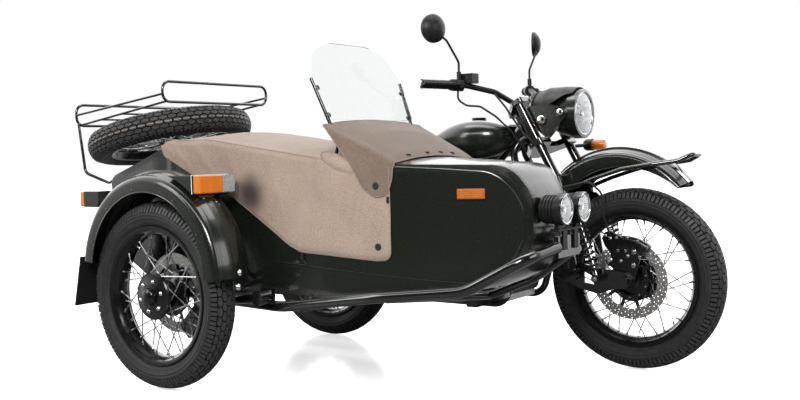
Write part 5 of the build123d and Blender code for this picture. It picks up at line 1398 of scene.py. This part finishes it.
CRANK_X = 880
CRANK_Z = 420
trim = Shape()
for side in (-1, 1):
    out = Vector((0, side, 0))
    face = side * 369.2
    for x in (-38, 38):
        for z in (-34, 34):
            bolt(trim, at(CRANK_X + x, face, CRANK_Z + z), out, 5.5, 6.0, 1)
    soft_block(trim, at(CRANK_X, face - side * 0.5, CRANK_Z), (70, 4, 54), None, 1.8, 0)
    for n in range(4):
        soft_block(trim, at(CRANK_X, face + side * 1.2, CRANK_Z - 18 + 12 * n), (62, 3, 4), None, 1.2, 0)
    for x, z in ((760, 290), (860, 285), (990, 300), (1008, 400), (770, 480), (968, 540), (830, 548)):
        bolt(trim, at(x, side * 127.6, z), out, 5.0, 5.0, 1)
    for t in (0.04, 0.5, 0.95):
        a, b = at(430, side * 240, 264), at(-190, side * 244, 300)
        spot = a + (b - a) * t
        lathe(trim, spot, b - a, [(42.2, -7), (43.6, -6.4), (43.6, 6.4), (42.2, 7)], 40, 2, closed=True)
for n in range(8):
    soft_block(trim, at(764 + 34 * n, 0, 248.6), (9.4, 225.4, 26.4), None, 1.5, 0)
for n in range(6):
    a = 2 * pi * n / 6
    bolt(trim, at(1054.6, 70 * cos(a), CRANK_Z + 70 * sin(a)), AHEAD, 5.0, 5.0, 1)
lathe(trim, at(1015.5, 0, 570), AHEAD, [(56, -1), (56, 3), (48, 6), (20, 8), (1, 8.4)], 40, 0)
place(trim, "engine_and_exhaust_trim", [CASTING, STEEL, EXHAUST], "chassis")

flap_bolts = Shape()
for y in (-1206, -1174, -1106, -1074):
    bolt(flap_bolts, at(-226.5, y, 462), BACK, 5.0, 4.5, 0)
place(flap_bolts, "mudflap_bolts", [CHROME], "chassis")


# Floor, light and camera

def stage_floor():
    """A pale floor that the camera sees as white where no shadow falls, and that reflects darker."""
    bpy.ops.mesh.primitive_plane_add(size=60, location=(0, 0, -0.0005))
    floor = bpy.context.object
    floor.name = "floor"
    material, graph, shader, _ = new_material("floor")
    shader.inputs["Roughness"].default_value = 0.16
    shader.inputs["Specular IOR Level"].default_value = 0.3
    paths = graph.node("LightPath").outputs
    tone = graph.node("Mix", links={"Factor": paths["Is Glossy Ray"]}, data_type="RGBA")
    tone.inputs["A"].default_value = (0.74, 0.74, 0.74, 1)
    tone.inputs["B"].default_value = (0.22, 0.22, 0.22, 1)
    graph.links.new(tone.outputs["Result"], shader.inputs["Base Color"])
    seen = graph.larger(paths["Is Camera Ray"], paths["Is Transmission Ray"])
    level = graph.node("Math", {1: 0.66}, {0: seen}, operation="MULTIPLY")
    shader.inputs["Emission Color"].default_value = (1, 1, 1, 1)
    graph.links.new(level.outputs["Value"], shader.inputs["Emission Strength"])
    floor.data.materials.append(material)


BACKDROP_SIDE = (-0.585, 0.811, 0.05)


def world_light():
    """A pale room: bright behind the machine, dark behind the camera, and white where the camera sees it."""
    world = bpy.data.worlds.new("studio")
    bpy.context.scene.world = world
    graph = Graph(world)
    graph.nodes.clear()
    paths = graph.node("LightPath").outputs
    seen = graph.larger(paths["Is Camera Ray"], paths["Is Transmission Ray"])
    toward = graph.node("TexCoord").outputs["Generated"]
    lean = graph.node("VectorMath", {1: BACKDROP_SIDE}, {0: toward},
                      operation="DOT_PRODUCT").outputs["Value"]
    room = graph.spread(lean, -0.35, 0.45, 0.04, 2.6, interpolation_type="SMOOTHSTEP")
    shine = graph.node("Mix", {"A": 0.24}, {"Factor": paths["Is Glossy Ray"], "B": room})
    level = graph.node("Mix", {"B": 1.0}, {"Factor": seen, "A": shine.outputs["Result"]})
    back = graph.node("Background", {"Color": (1, 1, 1, 1)}, {"Strength": level.outputs["Result"]})
    graph.node("OutputWorld", links={"Surface": back.outputs["Background"]})


def softbox(name, place_at, look_at, size, power):
    """A rectangular light, size in metres, that faces a place."""
    data = bpy.data.lights.new(name, "AREA")
    data.shape = "RECTANGLE"
    data.size, data.size_y = size
    data.energy = power
    lamp = bpy.data.objects.new(name, data)
    lamp.location = place_at
    lamp.rotation_mode = "QUATERNION"
    lamp.rotation_quaternion = (look_at - place_at).to_track_quat("-Z", "Y")
    bpy.context.scene.collection.objects.link(lamp)


CAMERA_PLACE = (2947.4, -3528.5, 837.5)
CAMERA_YAW = 0.6244
CAMERA_PITCH = 0.0474
CAMERA_ROLL = -0.0253
CAMERA_LENS = 44.2


def camera():
    """The camera that was solved from the outlines of the three wheels in the photo."""
    forward = Vector((-sin(CAMERA_YAW) * cos(CAMERA_PITCH), cos(CAMERA_YAW) * cos(CAMERA_PITCH),
                      -sin(CAMERA_PITCH)))
    level = forward.cross(Vector((0, 0, 1))).normalized()
    upright = level.cross(forward)
    c, s = cos(CAMERA_ROLL), sin(CAMERA_ROLL)
    right, up = level * c + upright * s, upright * c - level * s
    data = bpy.data.cameras.new("camera")
    data.lens = CAMERA_LENS
    data.sensor_width = 36.0
    eye = bpy.data.objects.new("camera", data)
    eye.matrix_world = Matrix((right, up, -forward)).transposed().to_4x4()
    eye.location = at(*CAMERA_PLACE)
    bpy.context.scene.collection.objects.link(eye)
    bpy.context.scene.camera = eye


stage_floor()
world_light()
for box_name, where, aim, size, power in (
        ("top_box", (700, -500, 3400), (700, -500, 600), (3.2, 1.0), 55),
        ("key_box", (2700, -4300, 3000), (500, -900, 600), (1.4, 1.2), 175),
        ("strip_box", (700, -3700, 2700), (600, -900, 300), (4.6, 0.35), 55),
        ("nose_box", (4300, -600, 1900), (1300, -600, 500), (1.6, 1.8), 38),
        ("side_box", (-1600, -3600, 2200), (200, -1000, 400), (0.9, 2.0), 40)):
    softbox(box_name, at(*where), at(*aim), size, power)
camera()
bpy.context.scene.view_settings.view_transform = "Standard"
